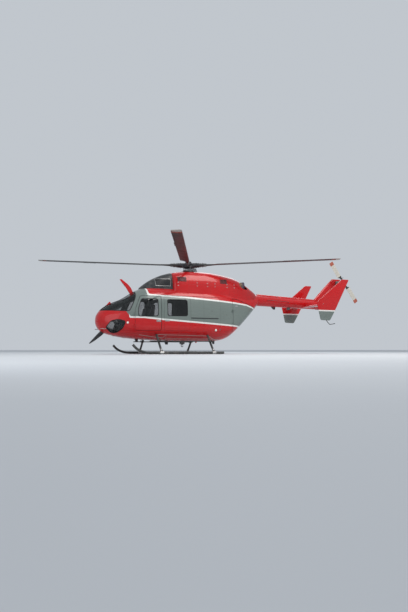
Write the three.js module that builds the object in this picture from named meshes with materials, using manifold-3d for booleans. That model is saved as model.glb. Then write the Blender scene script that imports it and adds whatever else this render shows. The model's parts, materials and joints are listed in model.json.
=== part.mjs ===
// A light twin-engined utility helicopter, parked on its skids. Millimetres, +X forward, +Y to port, +Z up.
// While it is built, x = 0 is the rotor mast and z = 0 is the ground. The last lines move the whole group
// so that the origin is on the ground at the centre of its footprint box.
import * as THREE from "three";
import { mergeVertices } from "three/addons/utils/BufferGeometryUtils.js";
import Module from "manifold-3d";

const wasm = await Module();
wasm.setup();

// Driving dimensions
const ROTOR_RADIUS = 5500;
const TAIL_ROTOR_RADIUS = 978;
const SKID_TRACK = 2500;
const STABILISER_SPAN = 2570;
const WALL = 40; // fuselage doors and walls
const SEAT_GAP = 0.3; // between pieces that rest on each other
const DOOR_GAP = 10; // all round a door that opens
const DOOR_BACK_GAP = 15; // behind a cockpit door, whose back edge swings a little aft as it opens
const SIDES = [["left", 1], ["right", -1]];

// Fuselage sections from nose to tail boom: a superellipse above the waist and another below it.
const AROUND = 36;
const SECTION_COLUMNS = ["x", "bottom", "waist", "top", "halfWidth", "upperPower", "lowerPower"];
const SECTIONS = [
  [3400, 1110, 1160, 1210, 50, 2.0, 2.0],
  [3365, 960, 1150, 1330, 190, 2.0, 2.0],
  [3270, 815, 1130, 1470, 330, 2.1, 2.0],
  [3090, 710, 1100, 1620, 465, 2.2, 2.1],
  [2850, 635, 1070, 1750, 580, 2.3, 2.2],
  [2560, 580, 1050, 1870, 665, 2.5, 2.3],
  [2290, 545, 1050, 2030, 722, 2.7, 2.4],
  [2040, 520, 1050, 2190, 760, 2.9, 2.5],
  [1780, 500, 1050, 2285, 785, 3.1, 2.6],
  [1400, 480, 1050, 2320, 800, 3.3, 2.6],
  [700, 460, 1050, 2325, 800, 3.4, 2.6],
  [0, 450, 1050, 2325, 800, 3.4, 2.6],
  [-700, 450, 1060, 2320, 795, 3.4, 2.6],
  [-1150, 490, 1090, 2305, 772, 3.2, 2.5],
  [-1450, 600, 1150, 2280, 730, 3.0, 2.4],
  [-1750, 830, 1270, 2250, 655, 2.8, 2.3],
  [-2050, 1110, 1430, 2235, 550, 2.6, 2.2],
  [-2350, 1400, 1640, 2230, 425, 2.4, 2.1],
  [-2600, 1650, 1870, 2226, 300, 2.2, 2.0],
  [-2750, 1795, 2010, 2224, 220, 2.0, 2.0],
].map((row) => Object.fromEntries(SECTION_COLUMNS.map((name, i) => [name, row[i]])));

// Where the fuselage panels meet, seen from the side
const FLOOR_LINE = 800; // top edge of the belly, bottom edge of the doors
const ROOF_LINE = 2000; // bottom edge of the roof, top edge of the doors
const NOSE_LINE = 1400; // top edge of the nose, bottom edge of the windscreen frame
const DOOR_FRONT = 2220;
const DOOR_KNEE = 1500; // height where the cockpit door's front edge starts to lean back
const DOOR_FRONT_TOP = 2010;
const POST_FRONT = 1290; // the post between cockpit door and sliding door
const POST_BACK = 1200;
const SLIDING_BACK = 215;
const CLAMSHELL_FRONT = -1450;
const CLAMSHELL_GAP = 20; // above the clamshell doors, whose sloping top edge first swings aft
const FUSELAGE_BACK = -2750;
const CLAMSHELL_TOP = [[CLAMSHELL_FRONT - 200, ROOF_LINE], [FUSELAGE_BACK + 120, 1675]]; // bottom edge of the roof there
const FLOOR_THICKNESS = 40;

// Rotor and tail
const HUB_HEIGHT = 3200;
const PRECONE = THREE.MathUtils.degToRad(2.3);
const ROTOR_AZIMUTH = THREE.MathUtils.degToRad(-24.5); // of the first blade, from straight ahead towards port
const BLADE_CHORD = 320;
const BOOM = { front: FUSELAGE_BACK - SEAT_GAP, back: -5560, frontHeight: 2012, backHeight: 1912, frontRadius: 200, backRadius: 165 };
const BOOM_WALL = 15;
const STABILISER = { front: -4765, back: -5385, height: 1828, thickness: 74 };
const TAIL_ROTOR = { x: -6522, y: 420, z: 2830, lean: THREE.MathUtils.degToRad(35) };

// Landing gear
const SKID_RADIUS = 42;
const SKID_HEIGHT = 50;
const SKID_Y = SKID_TRACK / 2;
const SKID_BACK = -830;
const CROSS_TUBE_RADIUS = 36;
const CROSS_TUBES = { front: 1440, rear: -460 };
const STEP = { front: 1760, back: -560, y: 960, z: 440, width: 110, thickness: 30 };

const COLOURS = {
  red: [0xc01018, 0.35, 0.1],
  grey: [0x5d6a66, 0.5, 0.1],
  black: [0x15171a, 0.6, 0.1],
  blade: [0x1c1d1f, 0.65, 0.0],
  steel: [0x6f7478, 0.4, 0.8],
  glass: [0x1b2422, 0.05, 0.0],
  cabin: [0x3a3d40, 0.85, 0.0],
};

function materialOf(name) {
  const [color, roughness, metalness] = COLOURS[name];
  return new THREE.MeshStandardMaterial({ color, roughness, metalness });
}

// Solids and geometries

function toSolid(geometry) {
  const bare = geometry.clone();
  bare.deleteAttribute("normal");
  bare.deleteAttribute("uv");
  const merged = mergeVertices(bare, 1e-3);
  const index = new Uint32Array(merged.index.array);
  const vertProperties = merged.attributes.position.array;
  const solid = new wasm.Manifold(new wasm.Mesh({ numProp: 3, vertProperties, triVerts: index }));
  if (solid.volume() >= 0) return solid;
  for (let i = 0; i < index.length; i += 3) [index[i + 1], index[i + 2]] = [index[i + 2], index[i + 1]];
  return new wasm.Manifold(new wasm.Mesh({ numProp: 3, vertProperties, triVerts: index }));
}

function toGeometry(solid) {
  const mesh = solid.getMesh();
  const points = new Float32Array(mesh.numVert * 3);
  for (let i = 0; i < mesh.numVert; i++) {
    points.set(mesh.vertProperties.subarray(i * mesh.numProp, i * mesh.numProp + 3), i * 3);
  }
  const geometry = new THREE.BufferGeometry();
  geometry.setAttribute("position", new THREE.BufferAttribute(points, 3));
  geometry.setIndex(new THREE.BufferAttribute(mesh.triVerts, 1));
  geometry.computeVertexNormals();
  return geometry;
}

const together = (...solids) => solids.reduce((all, next) => all.add(next));

// A closed skin through rings of equally many points, with a fan at each end
function loft(rings) {
  const count = rings[0].length;
  const points = rings.flat();
  const faces = [];
  for (let r = 0; r + 1 < rings.length; r++) {
    for (let i = 0; i < count; i++) {
      const a = r * count + i;
      const b = r * count + ((i + 1) % count);
      faces.push(a, b, b + count, a, b + count, a + count);
    }
  }
  for (const [ring, flip] of [[0, true], [rings.length - 1, false]]) {
    const middle = new THREE.Vector3();
    for (const p of rings[ring]) middle.addScaledVector(p, 1 / count);
    const centre = points.push(middle) - 1;
    for (let i = 0; i < count; i++) {
      const a = ring * count + i;
      const b = ring * count + ((i + 1) % count);
      faces.push(...(flip ? [b, a, centre] : [a, b, centre]));
    }
  }
  const geometry = new THREE.BufferGeometry().setFromPoints(points);
  geometry.setIndex(faces);
  return toSolid(geometry);
}

// An outline of [u, v] corners, each rounded by the same radius
function outline(corners, radius = 0) {
  const shape = new THREE.Shape();
  corners.forEach((corner, i) => {
    const at = new THREE.Vector2(...corner);
    const before = new THREE.Vector2(...corners[(i + corners.length - 1) % corners.length]);
    const after = new THREE.Vector2(...corners[(i + 1) % corners.length]);
    const start = at.clone().add(before.sub(at).setLength(radius));
    const end = at.clone().add(after.sub(at).setLength(radius));
    if (i === 0) shape.moveTo(start.x, start.y);
    else shape.lineTo(start.x, start.y);
    if (radius > 0) shape.quadraticCurveTo(at.x, at.y, end.x, end.y);
  });
  return shape;
}

const extrude = (shape, depth) =>
  new THREE.ExtrudeGeometry(shape, { depth, bevelEnabled: false, curveSegments: 3 });

// An outline drawn in x and z, pushed through from yLow to yHigh
function sidePrism(corners, yLow, yHigh, radius = 0) {
  const geometry = extrude(outline(corners, radius), yHigh - yLow);
  return toSolid(geometry.rotateX(Math.PI / 2).translate(0, yHigh, 0));
}

// An outline drawn in y and z, pushed through from xLow to xHigh
function frontPrism(corners, xLow, xHigh, radius = 0) {
  const turn = new THREE.Matrix4().makeBasis(
    new THREE.Vector3(0, 1, 0), new THREE.Vector3(0, 0, 1), new THREE.Vector3(1, 0, 0));
  return toSolid(extrude(outline(corners, radius), xHigh - xLow).applyMatrix4(turn).translate(xLow, 0, 0));
}

function box(xLow, xHigh, yLow, yHigh, zLow, zHigh) {
  const geometry = new THREE.BoxGeometry(xHigh - xLow, yHigh - yLow, zHigh - zLow);
  return toSolid(geometry.translate((xLow + xHigh) / 2, (yLow + yHigh) / 2, (zLow + zHigh) / 2));
}

// A round bar from one point to another, of equal or different end radii
function bar(from, to, radius, endRadius = radius, sides = 16) {
  const start = new THREE.Vector3(...from);
  const along = new THREE.Vector3(...to).sub(start);
  const geometry = new THREE.CylinderGeometry(endRadius, radius, along.length(), sides);
  const turn = new THREE.Quaternion().setFromUnitVectors(new THREE.Vector3(0, 1, 0), along.clone().normalize());
  const middle = start.clone().addScaledVector(along, 0.5);
  return toSolid(geometry.applyQuaternion(turn).translate(middle.x, middle.y, middle.z));
}

// A round tube, solid inside, along a route
function pipe(route, radius, steps, sides = 10) {
  const curve = new THREE.CatmullRomCurve3(route.map((p) => new THREE.Vector3(...p)), false, "centripetal");
  const section = new THREE.Shape();
  for (let i = 0; i < sides; i++) {
    const angle = (2 * Math.PI * i) / sides;
    const point = [radius * Math.cos(angle), radius * Math.sin(angle)];
    if (i === 0) section.moveTo(...point);
    else section.lineTo(...point);
  }
  return toSolid(new THREE.ExtrudeGeometry(section, { steps, extrudePath: curve, bevelEnabled: false }));
}

const mirrorY = (solid, side) => (side > 0 ? solid : solid.mirror([0, 1, 0]));

// The fuselage skin

const bend = (value, power) => Math.sign(value) * Math.abs(value) ** (2 / power);

function hullRing(section, inset, around) {
  const noseShare = THREE.MathUtils.clamp((section.x - 2700) / 600, 0, 1);
  const x = section.x - inset * noseShare + (section.x === FUSELAGE_BACK ? inset : 0);
  const halfWidth = Math.max(section.halfWidth - inset, 8);
  return Array.from({ length: around }, (_, i) => {
    const angle = (2 * Math.PI * i) / around;
    const upper = Math.sin(angle) >= 0;
    const power = upper ? section.upperPower : section.lowerPower;
    const full = upper ? section.top - section.waist : section.waist - section.bottom;
    const height = Math.max(full - inset, 8);
    return new THREE.Vector3(
      x,
      halfWidth * bend(Math.cos(angle), power),
      section.waist + height * bend(Math.sin(angle), power));
  });
}

const hull = (inset, around = AROUND) => loft(SECTIONS.map((s) => hullRing(s, inset, around)));

const outerHull = hull(0);
const skin = outerHull.subtract(hull(WALL));
const grownHull = hull(-SEAT_GAP);
const glassLayer = hull(10).subtract(hull(20));

const FAR = 4000; // beyond the fuselage in any direction

const WINDOWS = {
  cockpit: [[2110, 1265], [1400, 1290], [1400, 1900], [1985, 1900], [2110, 1560]],
  sliding: [[1085, 1300], [330, 1310], [330, 1895], [1085, 1895]],
  chin: [[3150, 900], [3000, 1130], [2760, 1185], [2510, 1120], [2600, 860], [2780, 700], [2960, 715]],
  windscreen: [[3400, 1480], [2385, 1440], [2150, 1920], [2060, 2300], [3400, 2300]],
};
const WINDOW_CORNER = 70;

function windowPrism(name, side, shrink = 0) {
  const corners = WINDOWS[name];
  const middle = new THREE.Box2().setFromPoints(corners.map((c) => new THREE.Vector2(...c))).getCenter(new THREE.Vector2());
  const scaled = corners.map(([x, z]) => [
    x - Math.sign(x - middle.x) * shrink,
    z - Math.sign(z - middle.y) * shrink,
  ]);
  const inner = name === "windscreen" ? 28 + shrink : 60;
  return mirrorY(sidePrism(scaled, inner, FAR, WINDOW_CORNER), side);
}

const pane = (name, side) => glassLayer.intersect(windowPrism(name, side, SEAT_GAP));

// Panels of the fixed shell

function bellyShell() {
  const region = box(CLAMSHELL_FRONT, FAR, -FAR, FAR, 0, FLOOR_LINE - SEAT_GAP);
  let shell = skin.intersect(region);
  for (const [, side] of SIDES) shell = shell.subtract(windowPrism("chin", side));
  return shell.subtract(crossTube(CROSS_TUBES.front, SEAT_GAP)).subtract(crossTube(CROSS_TUBES.rear, SEAT_GAP));
}

function noseShell() {
  const region = sidePrism(
    [[DOOR_FRONT, FLOOR_LINE], [FAR, FLOOR_LINE], [FAR, NOSE_LINE - SEAT_GAP], [DOOR_FRONT, NOSE_LINE - SEAT_GAP]],
    -FAR, FAR);
  let shell = skin.intersect(region);
  for (const [, side] of SIDES) shell = shell.subtract(windowPrism("chin", side));
  return together(shell, ...SIDES.map(([, side]) => hingeFixed("cockpit", side)));
}

// The windscreen's frame, the roof and the two posts between the doors are one built-up piece
const upperShell = () => together(windscreenFrame(), roofShell(), ...SIDES.map(([, side]) => doorPost(side)));

function windscreenFrame() {
  const region = sidePrism([
    [DOOR_FRONT, NOSE_LINE], [FAR, NOSE_LINE], [FAR, FAR], [DOOR_FRONT_TOP, FAR],
    [DOOR_FRONT_TOP, ROOF_LINE], [DOOR_FRONT, DOOR_KNEE]], -FAR, FAR);
  let frame = skin.intersect(region);
  for (const [, side] of SIDES) frame = frame.subtract(windowPrism("windscreen", side));
  return frame;
}

function roofShell() {
  const region = sidePrism([
    [DOOR_FRONT_TOP, ROOF_LINE], [DOOR_FRONT_TOP, FAR], [-FAR, FAR], [-FAR, CLAMSHELL_TOP[1][1]],
    CLAMSHELL_TOP[1], CLAMSHELL_TOP[0]], -FAR, FAR);
  return skin.intersect(region);
}

const doorPost = (side) =>
  skin.intersect(mirrorY(box(POST_BACK, POST_FRONT, 0, FAR, FLOOR_LINE, ROOF_LINE), side));

function sideWall(side) {
  const wall = skin.intersect(mirrorY(box(CLAMSHELL_FRONT, SLIDING_BACK, 0, FAR, FLOOR_LINE, ROOF_LINE - SEAT_GAP), side));
  return wall.add(hingeFixed("clamshell", side));
}

// Hinges: a fixed knuckle below and the door's knuckle above it, on one upright axis, each on a short arm
const HINGES = {
  cockpit: { x: DOOR_FRONT + 12, y: 764, skinY: 744, heights: [930, 1290] },
  clamshell: { x: CLAMSHELL_FRONT + 6, y: 762, skinY: 736, heights: [1000, 1500] },
};
const KNUCKLE = { radius: 13, length: 60, arm: 70, depth: 84 };

// Forward of the axis (direction 1) it stands on the fixed skin, aft of it (-1) on the door
function knuckle(name, side, rise, direction) {
  const { x, y, skinY, heights } = HINGES[name];
  const { radius, length, arm, depth } = KNUCKLE;
  const clear = direction > 0 ? 6 : 34; // where the arm may go down into its own panel
  const pieces = heights.map((height) => {
    const low = height + rise;
    const between = (a, b, inner) =>
      box(Math.min(x + a, x + b), Math.max(x + a, x + b), inner, y + 6, low, low + length);
    return together(
      bar([x, y, low], [x, y, low + length], radius, radius, 12),
      between(0, direction * clear, skinY),
      between(direction * clear, direction * arm, y - depth));
  });
  return mirrorY(together(...pieces), side);
}

const hingeFixed = (name, side) => knuckle(name, side, 0, 1).subtract(hull(WALL - 5));
const hingeMoving = (name, side) => knuckle(name, side, KNUCKLE.length + SEAT_GAP, -1).subtract(hull(WALL - 5));

// Doors

function cockpitDoor(side) {
  const region = sidePrism([
    [POST_FRONT + DOOR_BACK_GAP, FLOOR_LINE + DOOR_GAP], [DOOR_FRONT - DOOR_GAP, FLOOR_LINE + DOOR_GAP],
    [DOOR_FRONT - DOOR_GAP, DOOR_KNEE], [DOOR_FRONT_TOP - DOOR_GAP, ROOF_LINE - DOOR_GAP],
    [POST_FRONT + DOOR_BACK_GAP, ROOF_LINE - DOOR_GAP]], 60, FAR);
  const panel = skin.intersect(mirrorY(region, side)).subtract(windowPrism("cockpit", side));
  return panel.add(hingeMoving("cockpit", side));
}

function slidingDoor(side) {
  const region = box(SLIDING_BACK + SEAT_GAP, POST_BACK - SEAT_GAP, 60, FAR, FLOOR_LINE, ROOF_LINE - SEAT_GAP);
  return skin.intersect(mirrorY(region, side)).subtract(windowPrism("sliding", side));
}

function clamshellDoor(side) {
  const front = CLAMSHELL_FRONT - DOOR_GAP;
  const [knee, back] = CLAMSHELL_TOP.map(([x, z]) => [x, z - CLAMSHELL_GAP]);
  const region = sidePrism([[front, 0], [front, knee[1]], knee, back, [-FAR, back[1]], [-FAR, 0]], DOOR_GAP / 2, FAR);
  return skin.intersect(mirrorY(region, side)).add(hingeMoving("clamshell", side));
}

// Cabin

const floorTop = FLOOR_LINE + FLOOR_THICKNESS / 2;
const onFloor = floorTop + SEAT_GAP;

function cabinFloor() {
  const slab = (front, back) => box(back, front, -FAR, FAR, FLOOR_LINE - FLOOR_THICKNESS / 2, floorTop);
  const doorways = hull(WALL + DOOR_GAP).intersect(slab(DOOR_FRONT + DOOR_GAP, POST_FRONT)); // clear of the doors that swing
  return together(
    hull(WALL + SEAT_GAP).intersect(slab(2700, DOOR_FRONT + DOOR_GAP).add(slab(POST_FRONT, CLAMSHELL_FRONT + 20))), doorways);
}

function pilotSeat(side) {
  const profile = [[1500, 0], [2010, 0], [2010, 60], [1960, 330], [1640, 300], [1530, 960], [1420, 940], [1480, 280]];
  const seat = sidePrism(profile.map(([x, z]) => [x, z + onFloor]), 120, 540, 30);
  return mirrorY(seat, side);
}

function cabinBench() {
  const profile = [[-760, 0], [-300, 0], [-300, 380], [-640, 370], [-730, 950], [-830, 930]];
  return sidePrism(profile.map(([x, z]) => [x, z + onFloor]), -620, 620, 30);
}

function instrumentConsole() {
  const pedestal = box(2120, 2560, -110, 110, onFloor, 1180);
  const panel = sidePrism([[2440, 1120], [2560, 1120], [2620, 1340], [2470, 1400], [2400, 1380]], -400, 400);
  return pedestal.add(panel);
}

// Upper deck: the dark intake fairing, the red engine cowling and what they cover
const FAIRING_SECTIONS = [
  { x: 1840, halfWidth: 230, top: 2330 },
  { x: 1700, halfWidth: 330, top: 2440 },
  { x: 1450, halfWidth: 400, top: 2610 },
  { x: 1100, halfWidth: 430, top: 2780 },
  { x: 760, halfWidth: 440, top: 2880 },
];
const COWLING_SECTIONS = [
  { x: 758, halfWidth: 480, top: 2790 },
  { x: 690, halfWidth: 555, top: 2880 },
  { x: 400, halfWidth: 605, top: 2940 },
  { x: 0, halfWidth: 620, top: 2960 },
  { x: -700, halfWidth: 610, top: 2950 },
  { x: -1200, halfWidth: 580, top: 2890 },
  { x: -1700, halfWidth: 530, top: 2780 },
  { x: -2100, halfWidth: 445, top: 2600 },
  { x: -2450, halfWidth: 330, top: 2400 },
  { x: -2640, halfWidth: 250, top: 2270 },
];
const DECK = 1950; // the lofts start below the roof, which then cuts them
const COWLING_WALL = 25;

function deckRing(section, inset) {
  const around = 24;
  return Array.from({ length: around }, (_, i) => {
    const angle = (2 * Math.PI * i) / around;
    const upper = Math.sin(angle) >= 0;
    const height = upper ? section.top - inset - DECK : 200;
    return new THREE.Vector3(
      section.x,
      (section.halfWidth - inset) * bend(Math.cos(angle), 3.4),
      DECK + height * bend(Math.sin(angle), 3.4));
  });
}

function deckShell(sections) {
  const last = sections.length - 1;
  const inner = sections.map((s, i) => {
    const x = s.x + (i === 0 ? -COWLING_WALL : 0) + (i === last ? COWLING_WALL : 0);
    return deckRing({ ...s, x }, COWLING_WALL);
  });
  return loft(sections.map((s) => deckRing(s, 0))).subtract(loft(inner)).subtract(grownHull);
}

const EXHAUST = { front: [-1790, 262, 2480], back: [-2085, 352, 2512], radius: 145, wall: 12 };

// Along the exhaust's axis, longer by the same amount at both ends
function exhaustBar(side, radius, longer) {
  const front = new THREE.Vector3(...EXHAUST.front);
  const back = new THREE.Vector3(...EXHAUST.back);
  const along = back.clone().sub(front).setLength(longer);
  front.sub(along);
  back.add(along);
  return mirrorY(bar(front.toArray(), back.toArray(), radius, radius, 20), side);
}

function engineCowling() {
  const opening = bar([0, 0, 2500], [0, 0, 3000], 205, 205, 24);
  let shell = deckShell(COWLING_SECTIONS).subtract(opening);
  for (const [, side] of SIDES) shell = shell.subtract(exhaustBar(side, EXHAUST.radius + SEAT_GAP, 100));
  return shell;
}

const exhaust = (side) => exhaustBar(side, EXHAUST.radius, 0).subtract(exhaustBar(side, EXHAUST.radius - EXHAUST.wall, 20));

const engine = (side) =>
  mirrorY(box(-1540, -480, 90, 420, 2200, 2600), side).subtract(grownHull);

function mainGearbox() {
  return together(
    box(-300, 300, -260, 260, 2200, 2560),
    bar([0, 0, 2540], [0, 0, 2975], 190, 120, 24)).subtract(grownHull);
}

// Main rotor

function rotorMast() {
  const shaft = bar([0, 0, 2975 + SEAT_GAP], [0, 0, HUB_HEIGHT - 105], 62, 62, 20);
  const swashplate = bar([0, 0, 3000], [0, 0, 3045], 195, 195, 24);
  return shaft.add(swashplate);
}

const BLADE_START = 400; // where the blade's root meets the hub's arm

function rotorHub() {
  let hub = together(
    bar([0, 0, HUB_HEIGHT - 105 + SEAT_GAP], [0, 0, HUB_HEIGHT + 75], 205, 190, 24),
    bar([0, 0, HUB_HEIGHT + 70], [0, 0, HUB_HEIGHT + 160], 120, 70, 20));
  for (let i = 0; i < 4; i++) {
    const arm = toSolid(new THREE.CylinderGeometry(82, 100, BLADE_START - SEAT_GAP, 14)
      .rotateZ(-Math.PI / 2).translate((BLADE_START - SEAT_GAP) / 2, 0, 0)
      .rotateY(-PRECONE).rotateZ(ROTOR_AZIMUTH + (i * Math.PI) / 2).translate(0, 0, HUB_HEIGHT));
    hub = hub.add(arm);
  }
  return hub;
}

// Blade sections from root to tip: how wide and thick, and how much of an aerofoil (1) or a round neck (0)
const BLADE_SECTIONS = [
  { r: BLADE_START, chord: 150, thickness: 120, foil: 0 },
  { r: 560, chord: 140, thickness: 110, foil: 0 },
  { r: 620, chord: 105, thickness: 80, foil: 0 },
  { r: 820, chord: 115, thickness: 66, foil: 0.1 },
  { r: 960, chord: 200, thickness: 52, foil: 0.7 },
  { r: 1040, chord: BLADE_CHORD, thickness: 42, foil: 1 },
  { r: 5380, chord: BLADE_CHORD, thickness: 36, foil: 1 },
  { r: ROTOR_RADIUS, chord: 290, thickness: 26, foil: 1 },
];
const FOIL_POINTS = 18;

function bladeRing({ r, chord, thickness, foil }) {
  return Array.from({ length: FOIL_POINTS }, (_, i) => {
    const angle = (2 * Math.PI * i) / FOIL_POINTS;
    const along = (Math.cos(angle) - foil * 0.5) * 0.5 * chord; // the aerofoil lies a quarter chord behind the pitch axis
    const share = (1 - Math.cos(angle)) / 2;
    const taper = THREE.MathUtils.lerp(1, 1.25 * (1 - share) ** 0.6 * (0.25 + share ** 0.3), foil);
    return new THREE.Vector3(r, along, 0.5 * thickness * Math.sin(angle) * taper);
  });
}

function rotorBlade(i) {
  const geometry = toGeometry(loft(BLADE_SECTIONS.map(bladeRing)));
  return geometry.rotateY(-PRECONE).rotateZ(ROTOR_AZIMUTH + (i * Math.PI) / 2).translate(0, 0, HUB_HEIGHT);
}

// Tail

function boomRing(x, shrink) {
  const share = (BOOM.front - x) / (BOOM.front - BOOM.back);
  const radius = THREE.MathUtils.lerp(BOOM.frontRadius, BOOM.backRadius, share) - shrink;
  const height = THREE.MathUtils.lerp(BOOM.frontHeight, BOOM.backHeight, share);
  return Array.from({ length: 24 }, (_, i) => {
    const angle = (2 * Math.PI * i) / 24;
    return new THREE.Vector3(x, radius * Math.cos(angle), height + radius * Math.sin(angle));
  });
}

const boomSolid = (shrink, front, back) => loft([boomRing(front, shrink), boomRing(back, shrink)]);

function stabiliserSolid(grow) {
  const { front, back, height, thickness } = STABILISER;
  const chord = front - back;
  const ring = (y) => Array.from({ length: 16 }, (_, i) => {
    const angle = (2 * Math.PI * i) / 16;
    const share = (1 - Math.cos(angle)) / 2;
    const fall = 1.3 * (1 - share) ** 0.6 * (0.25 + share ** 0.3);
    return new THREE.Vector3(
      (front + back) / 2 + Math.cos(angle) * (chord / 2 + grow), y,
      height + Math.sin(angle) * ((thickness / 2) * fall + grow));
  });
  const tip = STABILISER_SPAN / 2 - 20 + grow;
  return loft([ring(-tip), ring(tip)]);
}

const FIN_SECTIONS = [
  { z: 1740, front: -5450, back: -5870, thickness: 60 },
  { z: 1830, front: -5260, back: -5960, thickness: 110 },
  { z: 2110, front: -5340, back: -6185, thickness: 130 },
  { z: 2600, front: -5830, back: -6510, thickness: 112 },
  { z: 2960, front: -6210, back: -6660, thickness: 80 },
  { z: 2995, front: -6270, back: -6640, thickness: 40 },
];

function tailFin() {
  const rings = FIN_SECTIONS.map(({ z, front, back, thickness }) => Array.from({ length: 16 }, (_, i) => {
    const angle = (2 * Math.PI * i) / 16;
    const share = (1 - Math.cos(angle)) / 2;
    const fall = 1.3 * (1 - share) ** 0.6 * (0.25 + share ** 0.3);
    return new THREE.Vector3(
      (front + back) / 2 + (Math.cos(angle) * (front - back)) / 2, Math.sin(angle) * (thickness / 2) * fall, z);
  }));
  return loft(rings).subtract(boomSolid(-SEAT_GAP, BOOM.front, BOOM.back - SEAT_GAP));
}

const END_PLATE = {
  thickness: 34,
  corners: [[-4820, 1260], [-4740, 1600], [-4660, 1925], [-5805, 2830], [-6125, 2830], [-5450, 1600], [-5230, 1245]],
};

function endPlate(side) {
  const inner = STABILISER_SPAN / 2 - 20;
  return mirrorY(sidePrism(END_PLATE.corners, inner + SEAT_GAP, inner + END_PLATE.thickness, 25), side);
}

function tailBoom() {
  const tube = boomSolid(0, BOOM.front, BOOM.back)
    .subtract(boomSolid(BOOM_WALL, BOOM.front + 10, BOOM.back + BOOM_WALL));
  return tube.subtract(stabiliserSolid(SEAT_GAP));
}

function tailBumper() {
  const route = [[-5600, 0, 1800], [-5690, 0, 1660], [-5960, 0, 1330], [-6095, 0, 1190], [-6170, 0, 1170], [-6370, 0, 1205]];
  return pipe(route, 15, 16, 8).subtract(tailFinGrown);
}

function tailGearbox() {
  const { x, y, z } = TAIL_ROTOR;
  return together(
    bar([x + 40, 0, z - 20], [x + 40, 170, z - 20], 95, 80, 16),
    bar([x, 120, z], [x, y - 75, z], 48, 40, 16)).subtract(tailFinGrown);
}

const tailFinSolid = tailFin();
const tailFinGrown = tailFinSolid.add(tailFinSolid.translate(0, SEAT_GAP, 0)).add(tailFinSolid.translate(0, -SEAT_GAP, 0))
  .add(tailFinSolid.translate(0, 0, -SEAT_GAP));

function tailRotor() {
  const { x, y, z, lean } = TAIL_ROTOR;
  const shaft = bar([x, y - 75 + SEAT_GAP, z], [x, y + 60, z], 36, 36, 16);
  const yoke = toSolid(new THREE.BoxGeometry(70, 44, 320).rotateY(lean).translate(x, y, z));
  return together(shaft, yoke, tailRotorBlade(0), tailRotorBlade(1));
}

const TAIL_BLADE_SECTIONS = [
  { r: 120, chord: 70, thickness: 36, foil: 0 },
  { r: 230, chord: 90, thickness: 34, foil: 0.3 },
  { r: 300, chord: 185, thickness: 24, foil: 1 },
  { r: 940, chord: 185, thickness: 20, foil: 1 },
  { r: TAIL_ROTOR_RADIUS, chord: 165, thickness: 12, foil: 1 },
];

function tailRotorBlade(i) {
  const { x, y, z, lean } = TAIL_ROTOR;
  // built along +X with its thickness up, then stood up with its thickness across the aircraft
  const geometry = toGeometry(loft(TAIL_BLADE_SECTIONS.map(bladeRing)));
  return toSolid(geometry.rotateX(Math.PI / 2).rotateY(-Math.PI / 2 + lean + i * Math.PI).translate(x, y, z));
}

// Landing gear

function skidSolid(side, grow) {
  const y = side * SKID_Y;
  const route = [
    [SKID_BACK - grow, y, SKID_HEIGHT], [600, y, SKID_HEIGHT], [1700, y, SKID_HEIGHT], [1980, y, SKID_HEIGHT + 8],
    [2180, y, SKID_HEIGHT + 62], [2330, y, SKID_HEIGHT + 150], [2440 + grow, y, SKID_HEIGHT + 262],
  ];
  return pipe(route, SKID_RADIUS + grow, 22, 12);
}

function skid(side) {
  const shoe = box(SKID_BACK + 60, 1880, side * SKID_Y - 27, side * SKID_Y + 27, 0, 16);
  return skidSolid(side, 0).add(shoe);
}

function crossTube(x, grow) {
  const half = [[0, 720], [400, 715], [590, 690], [740, 610], [960, 365], [SKID_Y, 62]];
  const route = [...half.slice(1).map(([y, z]) => [x, -y, z]).reverse(), ...half.map(([y, z]) => [x, y, z])];
  return pipe(route, CROSS_TUBE_RADIUS + grow, 30, 10);
}

function crossTubeSeated(x) {
  return SIDES.reduce((tube, [, side]) => tube.subtract(skidSolid(side, SEAT_GAP)), crossTube(x, 0));
}

function step(side) {
  const { front, back, y, z, width, thickness } = STEP;
  let board = box(back, front, y - width / 2, y + width / 2, z - thickness / 2, z + thickness / 2);
  board = mirrorY(board, side);
  for (const x of Object.values(CROSS_TUBES)) board = board.subtract(crossTube(x, SEAT_GAP));
  return board;
}

// Small fittings

const upperCutter = () =>
  sidePrism([[2200, 2060], [2080, 2110], [2130, 2290], [2500, 2600], [2570, 2590], [2360, 2330]], -9, 9).subtract(grownHull);

const lowerCutter = () =>
  sidePrism([[3090, 740], [3210, 800], [3500, 490], [3615, 365], [3580, 348], [3410, 455], [3170, 640]], -9, 9).subtract(grownHull);

const hookPlate = () => box(120, 360, -90, 90, 430, 600).subtract(grownHull);

// The assembly
const helicopter = new THREE.Group();

function addGeometry(name, colour, geometry) {
  const mesh = new THREE.Mesh(geometry, materialOf(colour));
  mesh.name = name;
  helicopter.add(mesh);
}

const add = (name, colour, solid) => addGeometry(name, colour, toGeometry(solid));

add("belly_shell", "red", bellyShell());
add("nose_shell", "red", noseShell());
add("upper_shell", "red", upperShell());
add("cabin_floor", "cabin", cabinFloor());
add("cabin_bench", "cabin", cabinBench());
add("instrument_console", "black", instrumentConsole());
for (const [name, side] of SIDES) {
  add(`side_wall_${name}`, "grey", sideWall(side));
  add(`cockpit_door_${name}`, "grey", cockpitDoor(side));
  add(`cockpit_door_window_${name}`, "glass", pane("cockpit", side));
  add(`sliding_door_${name}`, "grey", slidingDoor(side));
  add(`sliding_door_window_${name}`, "glass", pane("sliding", side));
  add(`clamshell_door_${name}`, "grey", clamshellDoor(side));
  add(`windscreen_${name}`, "glass", pane("windscreen", side));
  add(`chin_window_${name}`, "glass", pane("chin", side));
  add(`pilot_seat_${name}`, "cabin", pilotSeat(side));
  add(`engine_${name}`, "steel", engine(side));
  add(`exhaust_${name}`, "black", exhaust(side));
  add(`skid_${name}`, "black", skid(side));
  add(`step_${name}`, "black", step(side));
  add(`end_plate_${name}`, "red", endPlate(side));
}
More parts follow.
